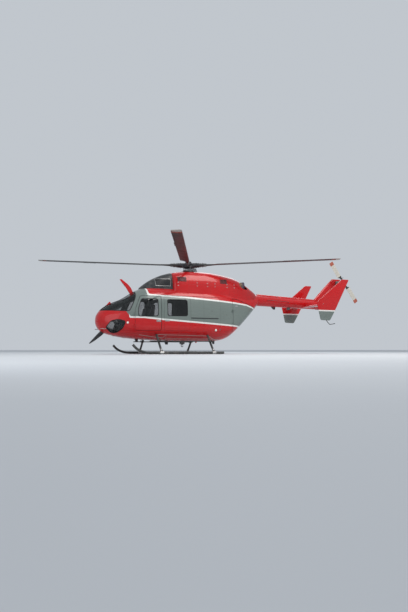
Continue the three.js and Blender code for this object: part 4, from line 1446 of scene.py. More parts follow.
mast = bmesh.new()
turned(mast, MAST_PROFILE, (0, 0, 2.9754), (0, 0, 3.2), 32)
turned(mast, SWASHPLATE, (0, 0, 3.0), (0, 0, 3.2), 48)
for index in range(BLADES):
    angle = ROTOR_AZIMUTH + index * math.tau / BLADES + 0.42
    foot = around_mast(0.182, angle, 3.036)
    head = around_mast(0.213, angle - 0.1, 3.15)
    rod(mast, foot, head, 0.009, sides=10)
    for joint in (foot, head):
        ball(mast, joint, (0.016, 0.016, 0.016), 6)
for angle in (ROTOR_AZIMUTH + 0.9, ROTOR_AZIMUTH + 0.9 + math.pi):
    elbow = around_mast(0.2, angle, 3.072)
    rod(mast, around_mast(0.172, angle, 3.038), elbow, 0.011, sides=8)
    rod(mast, elbow, around_mast(0.12, angle, 3.086), 0.011, sides=8)
piece("rotor_mast_and_swashplate", mast, STEEL, ("rotor_mast",), "main_rotor")
print("mast turned")

# %% [markdown]
# A rigid rotor head has no hinges: it is one star of metal with a cap on top, and the blades' roots
# bend instead. Each arm ends in a ring of bolts round the blade's root and has a short horn that the
# pitch link pushes. It is built along x, and a matrix turns it to its place.

# %% Rotor head
DRUM = [
    (0.0, 0.0), (0.0, 0.15), (0.012, 0.186), (0.03, 0.203), (0.15, 0.195), (0.168, 0.19),
    (0.18, 0.176), (0.18, 0.132), (0.19, 0.12), (0.215, 0.116), (0.252, 0.092), (0.264, 0.07),
    (0.264, 0.0),
]
ARM = [
    (0.12, 0.0), (0.12, 0.094), (0.2, 0.092), (0.27, 0.084), (0.275, 0.096), (0.3, 0.097),
    (0.305, 0.082), (0.365, 0.08), (0.37, 0.09), (0.3965, 0.09), (0.3965, 0.0),
]


def blade_place(index):
    """A matrix that puts a blade, built along x from the rotor's centre, in its place."""
    turn = Matrix.Rotation(ROTOR_AZIMUTH + index * math.tau / BLADES, 4, "Z")
    return Matrix.Translation(ROTOR_CENTRE) @ turn @ Matrix.Rotation(-PRECONE, 4, "Y")


head = bmesh.new()
turned(head, DRUM, (0, 0, HUB_HEIGHT - 0.1045), (0, 0, HUB_HEIGHT), 48)
bolts(head, 16, Matrix.Translation((0, 0, HUB_HEIGHT + 0.074)), 0.155, 0.01, 0.014)
bolts(head, 8, Matrix.Translation((0, 0, HUB_HEIGHT + 0.112)), 0.1, 0.008, 0.016)
for index in range(BLADES):
    arm = bmesh.new()
    turned(arm, ARM, (0, 0, 0), (1, 0, 0), 32)
    flange = Matrix.Translation((0.27, 0, 0)) @ Matrix.Rotation(math.pi / 2, 4, "Y")
    bolts(arm, 10, flange, 0.086, 0.007, 0.038)
    block(arm, (0.31, 0.06, -0.02), (0.375, 0.15, 0.02), 0.006)
    rod(arm, (0.342, 0.135, -0.034), (0.342, 0.135, 0.03), 0.012, sides=12)
    bmesh.ops.transform(arm, matrix=blade_place(index), verts=arm.verts)
    join(head, arm)
piece("rotor_head", head, DARK_METAL, ("rotor_hub",), "main_rotor")
print("rotor head made")

# %% [markdown]
# A blade is glass fibre on foam: a thick neck at the root that can twist, then an aerofoil 32 cm wide.
# Each one is a skin wrapped round its sections, from an oval at the root to a standard aerofoil's
# thickness curve, and its wrap map places the strip and the bands of its finish.

# %% Main rotor blades
BLADE_SECTIONS = [  # radius, chord, thickness, and how far from an oval to an aerofoil
    (0.400, 0.150, 0.120, 0.0), (0.560, 0.140, 0.110, 0.0), (0.620, 0.105, 0.080, 0.0),
    (0.820, 0.115, 0.066, 0.1), (0.960, 0.200, 0.052, 0.7), (1.040, 0.320, 0.042, 1.0),
    (1.600, 0.320, 0.041, 1.0), (3.000, 0.320, 0.039, 1.0), (4.400, 0.320, 0.037, 1.0),
    (5.380, 0.320, 0.036, 1.0), (5.460, 0.308, 0.031, 1.0), (5.500, 0.285, 0.022, 1.0),
]
AEROFOIL = ((0.5, 1.4845), (1.0, -0.63), (2.0, -1.758), (3.0, 1.4215), (4.0, -0.518))  # powers and factors


def half_thickness(aft):
    """Half an aerofoil's thickness, as a share of it, at a share of the chord behind the front edge."""
    return sum(factor * aft ** power for power, factor in AEROFOIL)


def straight_at(share, table):
    """The table's row at a share of its length, on straight lines between the rows."""
    index = min(int(share * (len(table) - 1)), len(table) - 2)
    rest = share * (len(table) - 1) - index
    return [first + (last - first) * rest for first, last in zip(table[index], table[index + 1])]


def blade_point(table, u, v):
    """A point of a blade: u runs from root to tip and v round the section from the trailing edge."""
    radius, chord, thickness, foil = straight_at(u, table)
    angle = math.tau * v
    aft = 0.5 + 0.5 * math.cos(angle)
    oval = 0.5 * math.sin(angle)
    wing = math.copysign(half_thickness(aft), oval)
    y = -(math.cos(angle) + foil * 0.5) * 0.5 * chord
    return Vector((radius, y, thickness * (oval + (wing - oval) * foil)))


def blade_skin_of(table, steps, around, place):
    blade = wrapped((len(table) - 1) * steps, around, lambda u, v: blade_point(table, u, v))
    bmesh.ops.transform(blade, matrix=place, verts=blade.verts)
    return blade


for index in range(BLADES):
    blade = blade_skin_of(BLADE_SECTIONS, 8, 48, blade_place(index))
    name = f"rotor_blade_{index + 1}"
    piece(f"{name}_skin", blade, BLADE_SKIN, (name,), "main_rotor")
print(BLADES, "blades,", BLADE_SECTIONS[-1][0], "m from the mast to the tip")

# %% [markdown]
# Two bolts hold each blade in its arm, a round damper pad sits on its neck above and below, and two
# tabs on the trailing edge can be bent to trim its flight. The blade's own matrix places them.

# %% Blade fittings
DAMPER = [(0.0, 0.0), (0.0, 0.062), (0.012, 0.066), (0.024, 0.062), (0.024, 0.0)]
TABS = (3.55, 3.8)
for index in range(BLADES):
    fittings = bmesh.new()
    for x in (0.44, 0.52):
        rod(fittings, (x, 0, -0.07), (x, 0, 0.07), 0.02)
        for z in (-0.074, 0.064):
            rod(fittings, (x, 0, z), (x, 0, z + 0.01), 0.028, sides=6)
    for up in (1, -1):
        turned(fittings, DAMPER, (0.6, 0, 0.03 * up), (0.6, 0, 0.2 * up), 24)
    for radius in TABS:
        pad(fittings, (radius, -0.249, 0), (0.22, 0.026, 0.006), 0.0015)
    bmesh.ops.transform(fittings, matrix=blade_place(index), verts=fittings.verts)
    piece(f"rotor_blade_{index + 1}_fittings", fittings, CASTING, body="main_rotor")
print("blade fittings made")

# %% [markdown]
# The tail boom is a riveted tube that tapers a little, and the stabiliser passes through it. Both are
# skins wrapped round simple sections, circles for one and aerofoils for the other, and the boom is
# cut where the stabiliser crosses it.

# %% Tail boom and stabiliser
BOOM = {"front": -2.7503, "back": -5.56, "heights": (2.012, 1.912), "radii": (0.2, 0.165)}
BOOM_WALL = 0.015
STABILISER = {"front": -4.765, "back": -5.385, "height": 1.828, "thickness": 0.074, "tip": 1.265}


def boom_at(x):
    """Height of the boom's axis and its radius at a station."""
    share = (BOOM["front"] - x) / (BOOM["front"] - BOOM["back"])
    return [first + (last - first) * share for first, last in (BOOM["heights"], BOOM["radii"])]


def boom_skin(shrink, front, back):
    def place(u, v):
        x = front + (back - front) * u
        height, radius = boom_at(x)
        angle = math.tau * v
        return Vector((x, (radius - shrink) * math.cos(angle), height + (radius - shrink) * math.sin(angle)))

    return wrapped(40, 64, place)


def wing_point(front, back, thickness, angle):
    """A point of a thin wing's section: how far along x it is and how far from the wing's middle."""
    aft = (1.0 - math.cos(angle)) / 2.0
    return front + (back - front) * aft, math.copysign(thickness * half_thickness(aft), math.sin(angle))


def stabiliser_skin(grow=0.0):
    def place(u, v):
        x, z = wing_point(STABILISER["front"] + grow, STABILISER["back"] - grow,
                          STABILISER["thickness"] + 2 * grow, math.tau * v)
        return Vector((x, (u * 2.0 - 1.0) * (STABILISER["tip"] + grow), STABILISER["height"] + z))

    return wrapped(40, 40, place)


bore = boom_skin(BOOM_WALL, BOOM["front"] + 0.01, BOOM["back"] + BOOM_WALL)
boom = cut(boom_skin(0.0, BOOM["front"], BOOM["back"]), bore, stabiliser_skin(0.0004))
piece("tail_boom_skin", boom, BOOM_PAINT, ("tail_boom",))
piece("stabiliser_skin", stabiliser_skin(), STABILISER_PAINT, ("stabiliser",))
print("boom", round(BOOM["front"] - BOOM["back"], 3), "m long")

# %% [markdown]
# The tail rotor's drive shaft runs along the boom's top under a cover in three lengths, and bolted
# rings join the boom to the cabin and to the fin. The cover is a row of circles, bridged and closed,
# and the boom cuts away its lower half.

# %% Shaft cover and joint rings
COVER_LENGTHS = ((-2.8, -3.66), (-3.68, -4.52), (-4.54, -5.36))
COVER_RADII = (0.068, 0.078, 0.078, 0.068)
COVER_SLOPE = 0.03
RING_BOLTS = 28
JOINT_RINGS = ((-2.765, 0.03), (-5.535, 0.022))  # station and width

shaft_cover = bmesh.new()
for start_x, end_x in COVER_LENGTHS:
    loops = []
    for x, radius in zip((start_x, start_x - COVER_SLOPE, end_x + COVER_SLOPE, end_x), COVER_RADII):
        place = Matrix.Translation((x, 0, sum(boom_at(x)) - 0.022)) @ Matrix.Rotation(math.pi / 2, 4, "Y")
        ring = bmesh.ops.create_circle(shaft_cover, segments=24, radius=radius, matrix=place)["verts"]
        loops.append(list({edge for vert in ring for edge in vert.link_edges}))
    for ring, after in zip(loops, loops[1:]):
        bmesh.ops.bridge_loops(shaft_cover, edges=ring + after)
    bmesh.ops.holes_fill(shaft_cover, edges=loops[0] + loops[-1], sides=0)
bmesh.ops.recalc_face_normals(shaft_cover, faces=shaft_cover.faces)
shaft_cover = cut(shaft_cover, boom_skin(0.006, BOOM["front"] + 0.05, BOOM["back"] - 0.05))
piece("drive_shaft_cover", shaft_cover, BOOM_PAINT)

joint_rings = bmesh.new()
for x, width in JOINT_RINGS:
    height, radius = boom_at(x)
    band = [(0.0, -0.004), (0.0, 0.004), (0.004, 0.008), (width - 0.004, 0.008), (width, 0.004),
            (width, -0.004), (0.0, -0.004)]
    turned(joint_rings, [(along, radius + out) for along, out in band], (x + width / 2, 0, height),
           (x - width, 0, height), 64)
    for step in range(RING_BOLTS):
        out = Matrix.Rotation(math.tau * step / RING_BOLTS, 3, "X") @ Vector((0, 1, 0))
        spot = Vector((x, 0, height)) + out * (radius + 0.006)
        rod(joint_rings, spot, spot + out * 0.006, 0.005, sides=6)
piece("boom_joint_rings", joint_rings, BOOM_PAINT)
print("shaft cover and joint rings made")

# %% [markdown]
# The swept fin carries the tail rotor high, clear of people, and the stabiliser's end plates keep the
# aircraft straight in flight. The fin is wrapped round its sections, and the plates are outlines
# with bevelled edges. A steel tube under the fin takes the blow if the tail goes down.

# %% Fin, end plates and bumper
FIN = [  # height, front, back, thickness
    (1.740, -5.450, -5.870, 0.060), (1.775, -5.360, -5.905, 0.088), (1.830, -5.260, -5.960, 0.110),
    (2.110, -5.340, -6.185, 0.130), (2.600, -5.830, -6.510, 0.112), (2.960, -6.210, -6.660, 0.080),
    (2.985, -6.240, -6.652, 0.058), (2.995, -6.270, -6.640, 0.040),
]
END_PLATE = [
    (-4.82, 1.26), (-4.74, 1.6), (-4.66, 1.925), (-5.805, 2.83), (-6.125, 2.83), (-5.45, 1.6),
    (-5.23, 1.245),
]
PLATE_THICKNESS = 0.034
COLLAR = [(0.0, 0.014), (0.0, 0.024), (0.02, 0.024), (0.03, 0.014), (0.0, 0.014)]
BUMPER = [
    (-5.62, 0, 1.765), (-5.69, 0, 1.66), (-5.96, 0, 1.33), (-6.095, 0, 1.19), (-6.17, 0, 1.17),
    (-6.37, 0, 1.205),
]


def fin_point(u, v):
    z, front, back, thickness = straight_at(u, FIN)
    x, y = wing_point(front, back, thickness, math.tau * v)
    return Vector((x, y, z))


def plate(corners, low, high, corner, edge):
    """A flat plate between two depths, with rounded corners and bevelled edges."""
    shape = pushed(corners, low, high, corner)
    rim = [item for item in shape.edges if item.calc_face_angle(0.0) > 1.0]
    bmesh.ops.bevel(shape, geom=rim, offset=edge, affect="EDGES", segments=3, profile=0.5, material=-1)
    return shape


boom_end = boom_skin(-SEAT_GAP, BOOM["front"], BOOM["back"] - SEAT_GAP)
fin = cut(wrapped((len(FIN) - 1) * 6, 48, fin_point), boom_end)
piece("tail_fin_skin", fin, FIN_PAINT, ("tail_fin",))
inner_y = STABILISER["tip"] + SEAT_GAP
for side_name, side in SIDES:
    end_plate = plate(END_PLATE, inner_y, STABILISER["tip"] + PLATE_THICKNESS, 0.05, 0.012)
    piece(f"end_plate_{side_name}_skin", mirrored(end_plate, side), END_PLATE_PAINT,
          (f"end_plate_{side_name}",))

bumper = bmesh.new()
tube(bumper, BUMPER, 0.014, 16, 6)
ball(bumper, (-6.368, 0, 1.205), (0.017, 0.017, 0.017), 8)
turned(bumper, COLLAR, (-5.655, 0, 1.712), (-5.72, 0, 1.62), 20)
piece("tail_bumper_tube", bumper, GEAR_BLACK, ("tail_bumper",))
print("fin, end plates and bumper made")

# %% [markdown]
# A small gearbox at the top of the fin turns the drive by a right angle: a casting with a flange, a
# ring of bolts and a neck for the tail rotor's shaft, all of them turned shapes.

# %% Tail gearbox
TAIL_HUB = Vector((-6.522, 0.42, 2.83))
CASE = [
    (0.03, 0.0), (0.03, 0.096), (0.045, 0.094), (0.12, 0.086), (0.124, 0.095), (0.14, 0.095),
    (0.144, 0.082), (0.165, 0.074), (0.17, 0.05), (0.17, 0.0),
]
NECK = [
    (0.0, 0.0), (0.0, 0.048), (0.1, 0.046), (0.105, 0.052), (0.125, 0.052), (0.13, 0.043),
    (0.2245, 0.04), (0.2245, 0.0),
]
case_x = TAIL_HUB.x + 0.04
case_z = TAIL_HUB.z - 0.02
gearbox = bmesh.new()
turned(gearbox, CASE, (case_x, 0, case_z), (case_x, 0.2, case_z), 32)
turned(gearbox, NECK, (TAIL_HUB.x, 0.12, TAIL_HUB.z), (TAIL_HUB.x, 0.4, TAIL_HUB.z), 32)
flange = Matrix.Translation((case_x, 0.118, case_z)) @ Matrix.Rotation(-math.pi / 2, 4, "X")
bolts(gearbox, 8, flange, 0.088, 0.006, 0.03)
foot = Vector((TAIL_HUB.x, 0.0, TAIL_HUB.z))
block(gearbox, foot + Vector((-0.05, 0.05, -0.13)), foot + Vector((0.13, 0.09, 0.085)), 0.012)
piece("tail_gearbox_case", gearbox, CASTING, ("tail_gearbox",))
print("tail gearbox made")

# %% [markdown]
# The tail rotor has two blades on one yoke, and a horn and a thin link set the pitch of each. The
# blades are wrapped like the main ones, and a matrix stands them up beside the fin.

# %% Tail rotor
TAIL_LEAN = math.radians(35)
TAIL_SECTIONS = [
    (0.120, 0.070, 0.036, 0.0), (0.230, 0.090, 0.034, 0.3), (0.300, 0.185, 0.024, 1.0),
    (0.600, 0.185, 0.022, 1.0), (0.940, 0.185, 0.020, 1.0), (0.978, 0.165, 0.012, 1.0),
]
YOKE = [
    (0.0, 0.0), (0.0, 0.036), (0.05, 0.036), (0.052, 0.058), (0.06, 0.06), (0.068, 0.058),
    (0.07, 0.034), (0.118, 0.034), (0.128, 0.026), (0.1345, 0.0),
]


def tail_place(index):
    turn = Matrix.Rotation(-math.pi / 2 + TAIL_LEAN + index * math.pi, 4, "Y")
    return Matrix.Translation(TAIL_HUB) @ turn @ Matrix.Rotation(math.pi / 2, 4, "X")


yoke = bmesh.new()
turned(yoke, YOKE, TAIL_HUB - Vector((0, 0.0745, 0)), TAIL_HUB + Vector((0, 0.1, 0)), 32)
for index in range(2):
    arm = bmesh.new()
    block(arm, (-0.005, -0.034, -0.02), (0.16, 0.034, 0.02), 0.008)
    for radius in (0.125, 0.15):
        rod(arm, (radius, 0, -0.024), (radius, 0, 0.024), 0.009, sides=6)
    block(arm, (0.165, 0.02, -0.01), (0.19, 0.085, 0.01), 0.004)
    rod(arm, (0.178, 0.076, -0.055), (0.178, 0.076, 0.012), 0.006, sides=8)
    bmesh.ops.transform(arm, matrix=tail_place(index), verts=arm.verts)
    join(yoke, arm)
piece("tail_rotor_yoke", yoke, STEEL, body="tail_rotor_body")
for index, node in enumerate((("tail_rotor",), ())):
    blade = blade_skin_of(TAIL_SECTIONS, 7, 32, tail_place(index))
    piece(f"tail_rotor_blade_{index + 1}", blade, TAIL_BLADE_SKIN, node, "tail_rotor_body")
print("tail rotor made,", 2 * TAIL_SECTIONS[-1][0], "m across")

# %% [markdown]
# Skid gear is two long tubes that turn up at the front, so that they slide over rough ground. Steel
# shoes, held by clips, wear instead of them. A smooth route gives the bend, and the rear end gets a
# turned cap.

# %% Skids and shoes
SKID_Y = 1.25
SKID_Z = 0.05
SKID_RADIUS = 0.042
SKID_ROUTE = [
    (-0.83, 0.05), (0.6, 0.05), (1.7, 0.05), (1.98, 0.058), (2.18, 0.112), (2.33, 0.2), (2.44, 0.312),
]
SKID_CAP = [(-0.001, 0.0), (-0.001, 0.03), (0.004, 0.0435), (0.04, 0.0435), (0.044, 0.0)]
SHOES = ((-0.77, -0.02), (0.02, 0.95), (0.99, 1.88))
CLIPS = [-0.7 + 0.225 * step for step in range(12)]

for side_name, side in SIDES:
    y = side * SKID_Y
    skid = bmesh.new()
    tube(skid, [(x, y, z) for x, z in SKID_ROUTE], SKID_RADIUS, 28, 6)
    turned(skid, SKID_CAP, (-0.83, y, SKID_Z), (0.0, y, SKID_Z), 28)
    piece(f"skid_{side_name}_tube", skid, GEAR_BLACK, (f"skid_{side_name}",))
    shoe = bmesh.new()
    for start_x, end_x in SHOES:
        block(shoe, (start_x, y - 0.027, 0.0), (end_x, y + 0.027, 0.012), 0.004)
    for x in CLIPS:
        pad(shoe, (x, y, 0.022), (0.022, 0.092, 0.024), 0.003)
    piece(f"skid_{side_name}_shoes", shoe, SHOE_STEEL)
print("skids made,", SKID_ROUTE[-1][0] - SKID_ROUTE[0][0], "m long")

# %% [markdown]
# Two bent tubes carry the cabin on the skids, and their spring takes up the landing. Saddles with two
# bolts clamp them to the skids, and a ring sits where each tube enters the belly.

# %% Cross tubes
SADDLE = [(-0.065, 0.043), (-0.065, 0.05), (0.065, 0.05), (0.065, 0.043), (-0.065, 0.043)]
SOCKET = [(-0.02, 0.037), (-0.03, 0.046), (-0.1, 0.042), (-0.105, 0.037), (-0.02, 0.037)]
CLAMP = [(-0.03, 0.0365), (-0.03, 0.048), (0.03, 0.048), (0.03, 0.0365), (-0.03, 0.0365)]
BOLT_REACH = Vector((0.0, 0.056, 0.0))

for name, x in CROSS_TUBES.items():
    bow = cross_tube_shape(x, 0.0, 24)
    piece(f"cross_tube_{name}_bow", bow, GEAR_BLACK, (f"cross_tube_{name}",))
    saddles = bmesh.new()
    for side_name, side in SIDES:
        turned(saddles, SADDLE, (x, side * SKID_Y, SKID_Z), (x + 1, side * SKID_Y, SKID_Z), 32)
        turned(saddles, SOCKET, (x, side * 1.228, 0.085), (x, side * 1.335, -0.05), 24)
        turned(saddles, CLAMP, (x, side * 0.52, 0.7025), (x, side * 0.62, 0.683), 24)
        for bolt_x in (x - 0.048, x + 0.048):
            middle = Vector((bolt_x, side * SKID_Y, SKID_Z))
            rod(saddles, middle - BOLT_REACH, middle + BOLT_REACH, 0.008, sides=6)
    piece(f"cross_tube_{name}_saddles", saddles, ALLOY)
print("cross tubes made")

# %% [markdown]
# A long step hangs on the cross tubes on each side, with strips of grip where feet land. The tubes
# pass through it, so they are cut out of it, and small brackets hold it to them.

# %% Boarding steps
STEP = {"front": 1.76, "back": -0.56, "y": 0.96, "z": 0.44, "width": 0.11}
GRIPS = ((1.5, 1.74), (0.2, 1.36), (-0.36, 0.16))
GRIP_ROWS = 4
low_y = STEP["y"] - STEP["width"] / 2
high_y = STEP["y"] + STEP["width"] / 2
step_z = STEP["z"]

for side_name, side in SIDES:
    board = bmesh.new()
    block(board, (STEP["back"], low_y, step_z - 0.012), (STEP["front"], high_y, step_z + 0.01), 0.005)
    for y in (low_y + 0.004, high_y - 0.004):
        block(board, (STEP["back"] + 0.01, y - 0.004, step_z - 0.015),
              (STEP["front"] - 0.01, y + 0.004, step_z + 0.015), 0.002)
    brackets = bmesh.new()
    for x in CROSS_TUBES.values():
        board = cut(board, cross_tube_shape(x, 0.0015))
        for low_x in (x - 0.052, x + 0.04):
            block(brackets, (low_x, 0.885, step_z - 0.026), (low_x + 0.012, 0.99, step_z + 0.055), 0.003)
    grip = bmesh.new()
    for start_x, end_x in GRIPS:
        for row in range(GRIP_ROWS):
            y = low_y + 0.022 * (row + 1)
            block(grip, (start_x, y - 0.005, step_z + 0.009), (end_x, y + 0.005, step_z + 0.0145), 0.0015)
    board = mirrored(board, side)
    piece(f"step_{side_name}_board", board, GEAR_BLACK, (f"step_{side_name}",))
    piece(f"step_{side_name}_grip", mirrored(grip, side), RUBBER)
    piece(f"step_{side_name}_brackets", mirrored(brackets, side), GEAR_BLACK)
print("steps made")

# %% [markdown]
# Two cutters above and below the nose catch a cable and shear it on a sharp steel inner edge, and a
# small deflector on the windscreen's post guides it to them. All are outlines pushed through, with
# bevelled edges, and the skin cuts off their feet.

# %% Wire cutters and deflector
UPPER_CUTTER = [
    (2.18, 2.06), (2.08, 2.1), (2.105, 2.2), (2.17, 2.32), (2.28, 2.435), (2.5, 2.598), (2.57, 2.588),
    (2.46, 2.455), (2.345, 2.315), (2.26, 2.18),
]
LOWER_CUTTER = [
    (3.09, 0.72), (3.21, 0.8), (3.34, 0.665), (3.5, 0.49), (3.612, 0.366), (3.582, 0.35), (3.41, 0.455),
    (3.28, 0.555), (3.17, 0.64),
]
DEFLECTOR = [(3.0, 1.6), (2.86, 1.72), (2.9, 1.8), (2.93, 1.79), (3.04, 1.66)]
PLATE_HALF = 0.009  # half of a cutter's thickness
CUTTING_EDGES = (((2.36, 0, 2.34), (2.515, 0, 2.53)), ((3.44, 0, 0.47), (3.57, 0, 0.372)))

upper_cutter = cut(plate(UPPER_CUTTER, -PLATE_HALF, PLATE_HALF, 0.008, 0.003), GROWN)
piece("upper_cutter_blade", upper_cutter, FITTING_PAINT, ("upper_cutter",))
lower_cutter = cut(plate(LOWER_CUTTER, -PLATE_HALF, PLATE_HALF, 0.006, 0.003), GROWN)
piece("lower_cutter_blade", lower_cutter, DARK_PAINT, ("lower_cutter",))
deflector = cut(plate(DEFLECTOR, -0.01, 0.01, 0.012, 0.003), GROWN)
piece("windscreen_deflector", deflector, FITTING_PAINT)

cutting_edges = bmesh.new()
for start, end in CUTTING_EDGES:
    size = Matrix.Diagonal((0.012, 0.022, (Vector(end) - Vector(start)).length, 1.0))
    wedge = aimed(start, end) @ size @ Matrix.Rotation(math.pi / 4, 4, "Z")
    bmesh.ops.create_cube(cutting_edges, size=1.0, matrix=wedge)
piece("cutter_edges", cutting_edges, STEEL)
print("cutters and deflector made")

# %% [markdown]
# The hook under the belly carries a sling load. A small frame of soft-edged blocks holds a forged
# hook with a keeper, and a pin lets it swing. A tube along a route gives the hook its bend.

# %% Cargo hook
HOOK = [(0.26, 0, 0.335), (0.275, 0, 0.3), (0.262, 0, 0.268), (0.232, 0, 0.258), (0.207, 0, 0.272),
        (0.203, 0, 0.292)]
HOOK_BLOCKS = (  # centre, size and edge of the plate, the two cheeks and the hook's head
    ((0.24, 0, 0.44), (0.22, 0.176, 0.016), 0.004), ((0.24, -0.07, 0.394), (0.14, 0.012, 0.084), 0.003),
    ((0.24, 0.07, 0.394), (0.14, 0.012, 0.084), 0.003), ((0.24, 0, 0.3625), (0.08, 0.076, 0.065), 0.01),
)
HOOK_PIN = ((0.24, -0.085, 0.375), (0.24, 0.085, 0.375), 0.011)
KEEPER = ((0.205, 0, 0.33), (0.208, 0, 0.296), 0.007)

hook = bmesh.new()
for settings in HOOK_BLOCKS:
    pad(hook, *settings)
rod(hook, *HOOK_PIN)
tube(hook, HOOK, 0.012, 14, 6)
rod(hook, *KEEPER, sides=12)
piece("cargo_hook", hook, CASTING, ("hook_plate",))
print("hook made")

# %% [markdown]
# Blade aerials and drains stand on the belly, and the boom carries a beacon's housing, one more blade
# and a long wire aerial on each side. Such things are a few centimetres each, and missed when they
# are left out. They ask the skin or the boom where it is.

# %% Aerials and drains
BLADE_AERIALS = ((1.95, 0.13, 0.1), (0.85, 0.16, 0.13), (-0.98, 0.12, 0.11))  # station, chord, depth
DRAINS = ((0.62, 0.3), (0.62, -0.3), (-0.2, 0.18), (-0.2, -0.18), (-0.85, 0.35))
BEACON_X = -4.2
BEACON = [
    (0.0, 0.0), (0.0, 0.085), (0.012, 0.085), (0.03, 0.07), (0.075, 0.062), (0.092, 0.04), (0.096, 0.0),
]
WIRE = [
    (-3.18, 0.195, 2.02), (-3.2, 0.245, 2.03), (-3.6, 0.262, 2.01), (-4.05, 0.245, 1.985),
    (-4.08, 0.178, 1.975),
]

belly_fittings = bmesh.new()
for x, chord, depth in BLADE_AERIALS:
    z = height_at(x, 0.0, False)
    corners = [(x - chord / 2, z + 0.01), (x + chord / 2, z + 0.01), (x + chord * 0.18, z - depth),
               (x - chord * 0.42, z - depth)]
    join(belly_fittings, plate(corners, -0.006, 0.006, 0.012, 0.002))
    pad(belly_fittings, (x, 0, z - 0.001), (chord * 1.24, 0.044, 0.01), 0.002)
for x, y in DRAINS:
    z = height_at(x, y, False)
    tube(belly_fittings, [(x, y, z + 0.01), (x, y, z - 0.02), (x - 0.012, y, z - 0.045)], 0.007, 10, 4)
piece("belly_aerials_and_drains", belly_fittings, DARK_PAINT)

boom_fittings = bmesh.new()
height, radius = boom_at(BEACON_X)
under = height - radius
turned(boom_fittings, BEACON, (BEACON_X, 0, under + 0.012), (BEACON_X, 0, 0), 32)
corners = [(-3.62, under + 0.015), (-3.42, under + 0.018), (-3.52, under - 0.085), (-3.6, under - 0.085)]
join(boom_fittings, plate(corners, -0.006, 0.006, 0.012, 0.002))
for side_name, side in SIDES:
    tube(boom_fittings, [(x, side * y, z) for x, y, z in WIRE], 0.007, 10, 6)
piece("boom_beacon_and_aerials", boom_fittings, DARK_PAINT)
print("aerials and drains made")

# %% [markdown]
# There are two landing lamps under the nose, round white lamps low on each side, red and green lights
# on the end plates and a white one on the fin. Each is a domed lens in a thin rim, turned on its own
# axis and let into the surface it sits on.

# %% Lamps
LENS_SHARE = 0.9  # of the rim's radius
DOME_STEPS = 7


def lamp(name, place, out, radius, material, dome):
    """A domed lens in a rim, at a place on a surface that faces out."""
    start = Vector(place)
    end = start + Vector(out).normalized()
    wide = radius * LENS_SHARE
    bend = [math.pi / 2 * step / DOME_STEPS for step in range(DOME_STEPS)]
    steps = [(radius * dome * math.sin(angle), wide * math.cos(angle)) for angle in bend]
    lens = bmesh.new()
    turned(lens, [(-0.004, 0.0), (-0.004, wide), *steps, (radius * dome, 0.0)], start, end, 24)
    piece(f"{name}_lens", lens, material)
    rim = bmesh.new()
    turned(rim, [(-0.006, radius * 0.88), (-0.006, radius * 1.12), (0.003, radius * 1.1), (0.006, radius),
                 (0.005, radius * 0.88), (-0.006, radius * 0.88)], start, end, 32)
    piece(f"{name}_rim", rim, ALLOY)


SIDE_LAMPS = {  # place, how it faces, radius, lens and dome
    "side_lamp_front": (2.46, 1.06, (0.12, 1, -0.05), 0.036, LAMP_CLEAR, 0.5),
    "side_lamp_rear": (-0.75, 0.84, (-0.05, 1, -0.25), 0.04, LAMP_CLEAR, 0.5),
    "side_vent_rear": (-0.92, 0.86, (-0.08, 1, -0.22), 0.022, LAMP_DARK, 0.1),
}
BELLY_LAMPS = {
    "landing_lamp_front": (2.86, 0.03, (0.35, 0, -1), 0.085, LAMP_CLEAR, 0.25),
    "landing_lamp_rear": (2.4, -0.06, (0.12, 0, -1), 0.06, LAMP_CLEAR, 0.25),
    "belly_beacon": (-0.3, 0.0, (0, 0, -1), 0.045, LAMP_RED, 1.2),
}
for side_name, side in SIDES:
    for name, (x, z, out, *settings) in SIDE_LAMPS.items():
        lamp(f"{name}_{side_name}", (x, side * side_at(x, z), z), (out[0], side, out[2]), *settings)
    glass = LAMP_RED if side > 0 else LAMP_GREEN
    end_y = side * (STABILISER["tip"] + 0.033)
    lamp(f"position_lamp_{side_name}", (-4.93, end_y, 1.87), (0.2, side, 0), 0.022, glass, 0.9)
for name, (x, y, out, *settings) in BELLY_LAMPS.items():
    lamp(name, (x, y, height_at(x, y, False) + 0.001), out, *settings)
lamp("tail_lamp", (-6.628, 0.0, 2.93), (-1, 0, 0.1), 0.022, LAMP_CLEAR, 0.9)
print("lamps made")

# %% [markdown]
# A wiper is an arm with a blade that follows the glass, and a pitot tube feels the air's pressure
# ahead of the skin. Both are tubes, and the wiper's routes are worked out a little above the skin.

# %% Wipers and pitot tubes
WIPER_STEPS = 8
WIPER_FOOT = (3.02, 0.1)
PITOT = ((3.1, -0.01, 0.86), (3.11, 0.035, 0.855), (3.16, 0.052, 0.85), (3.3, 0.052, 0.85))


def screen_point(x, y, proud):
    """A point just above the front skin at a station and a distance from the middle."""
    return Vector((x, y, height_at(x, y, True) + proud))


def screen_route(x, y, back, out, proud):
    return [screen_point(x - back * step, y + out * step, proud) for step in range(WIPER_STEPS)]


for side_name, side in SIDES:
    wiper = bmesh.new()
    rod(wiper, screen_point(*WIPER_FOOT, -0.02), screen_point(*WIPER_FOOT, 0.018), 0.011)
    tube(wiper, screen_route(*WIPER_FOOT, 0.075, 0.03, 0.015), 0.005, 10, 3)
    tube(wiper, screen_route(2.93, 0.12, 0.085, 0.034, 0.005), 0.006, 8, 3)
    piece(f"wiper_{side_name}", mirrored(wiper, side), DARK_METAL)
    probe = bmesh.new()
    foot = Vector((0, side_at(3.12, 0.86), 0))
    route = [foot + Vector(spot) for spot in PITOT]
    tube(probe, route, 0.01, 14, 5)
    rod(probe, route[-1], route[-1] + Vector((0.025, 0, 0)), 0.008, 0.006, 14)
    piece(f"pitot_tube_{side_name}", mirrored(probe, side), STEEL)
print("wipers and pitot tubes made")

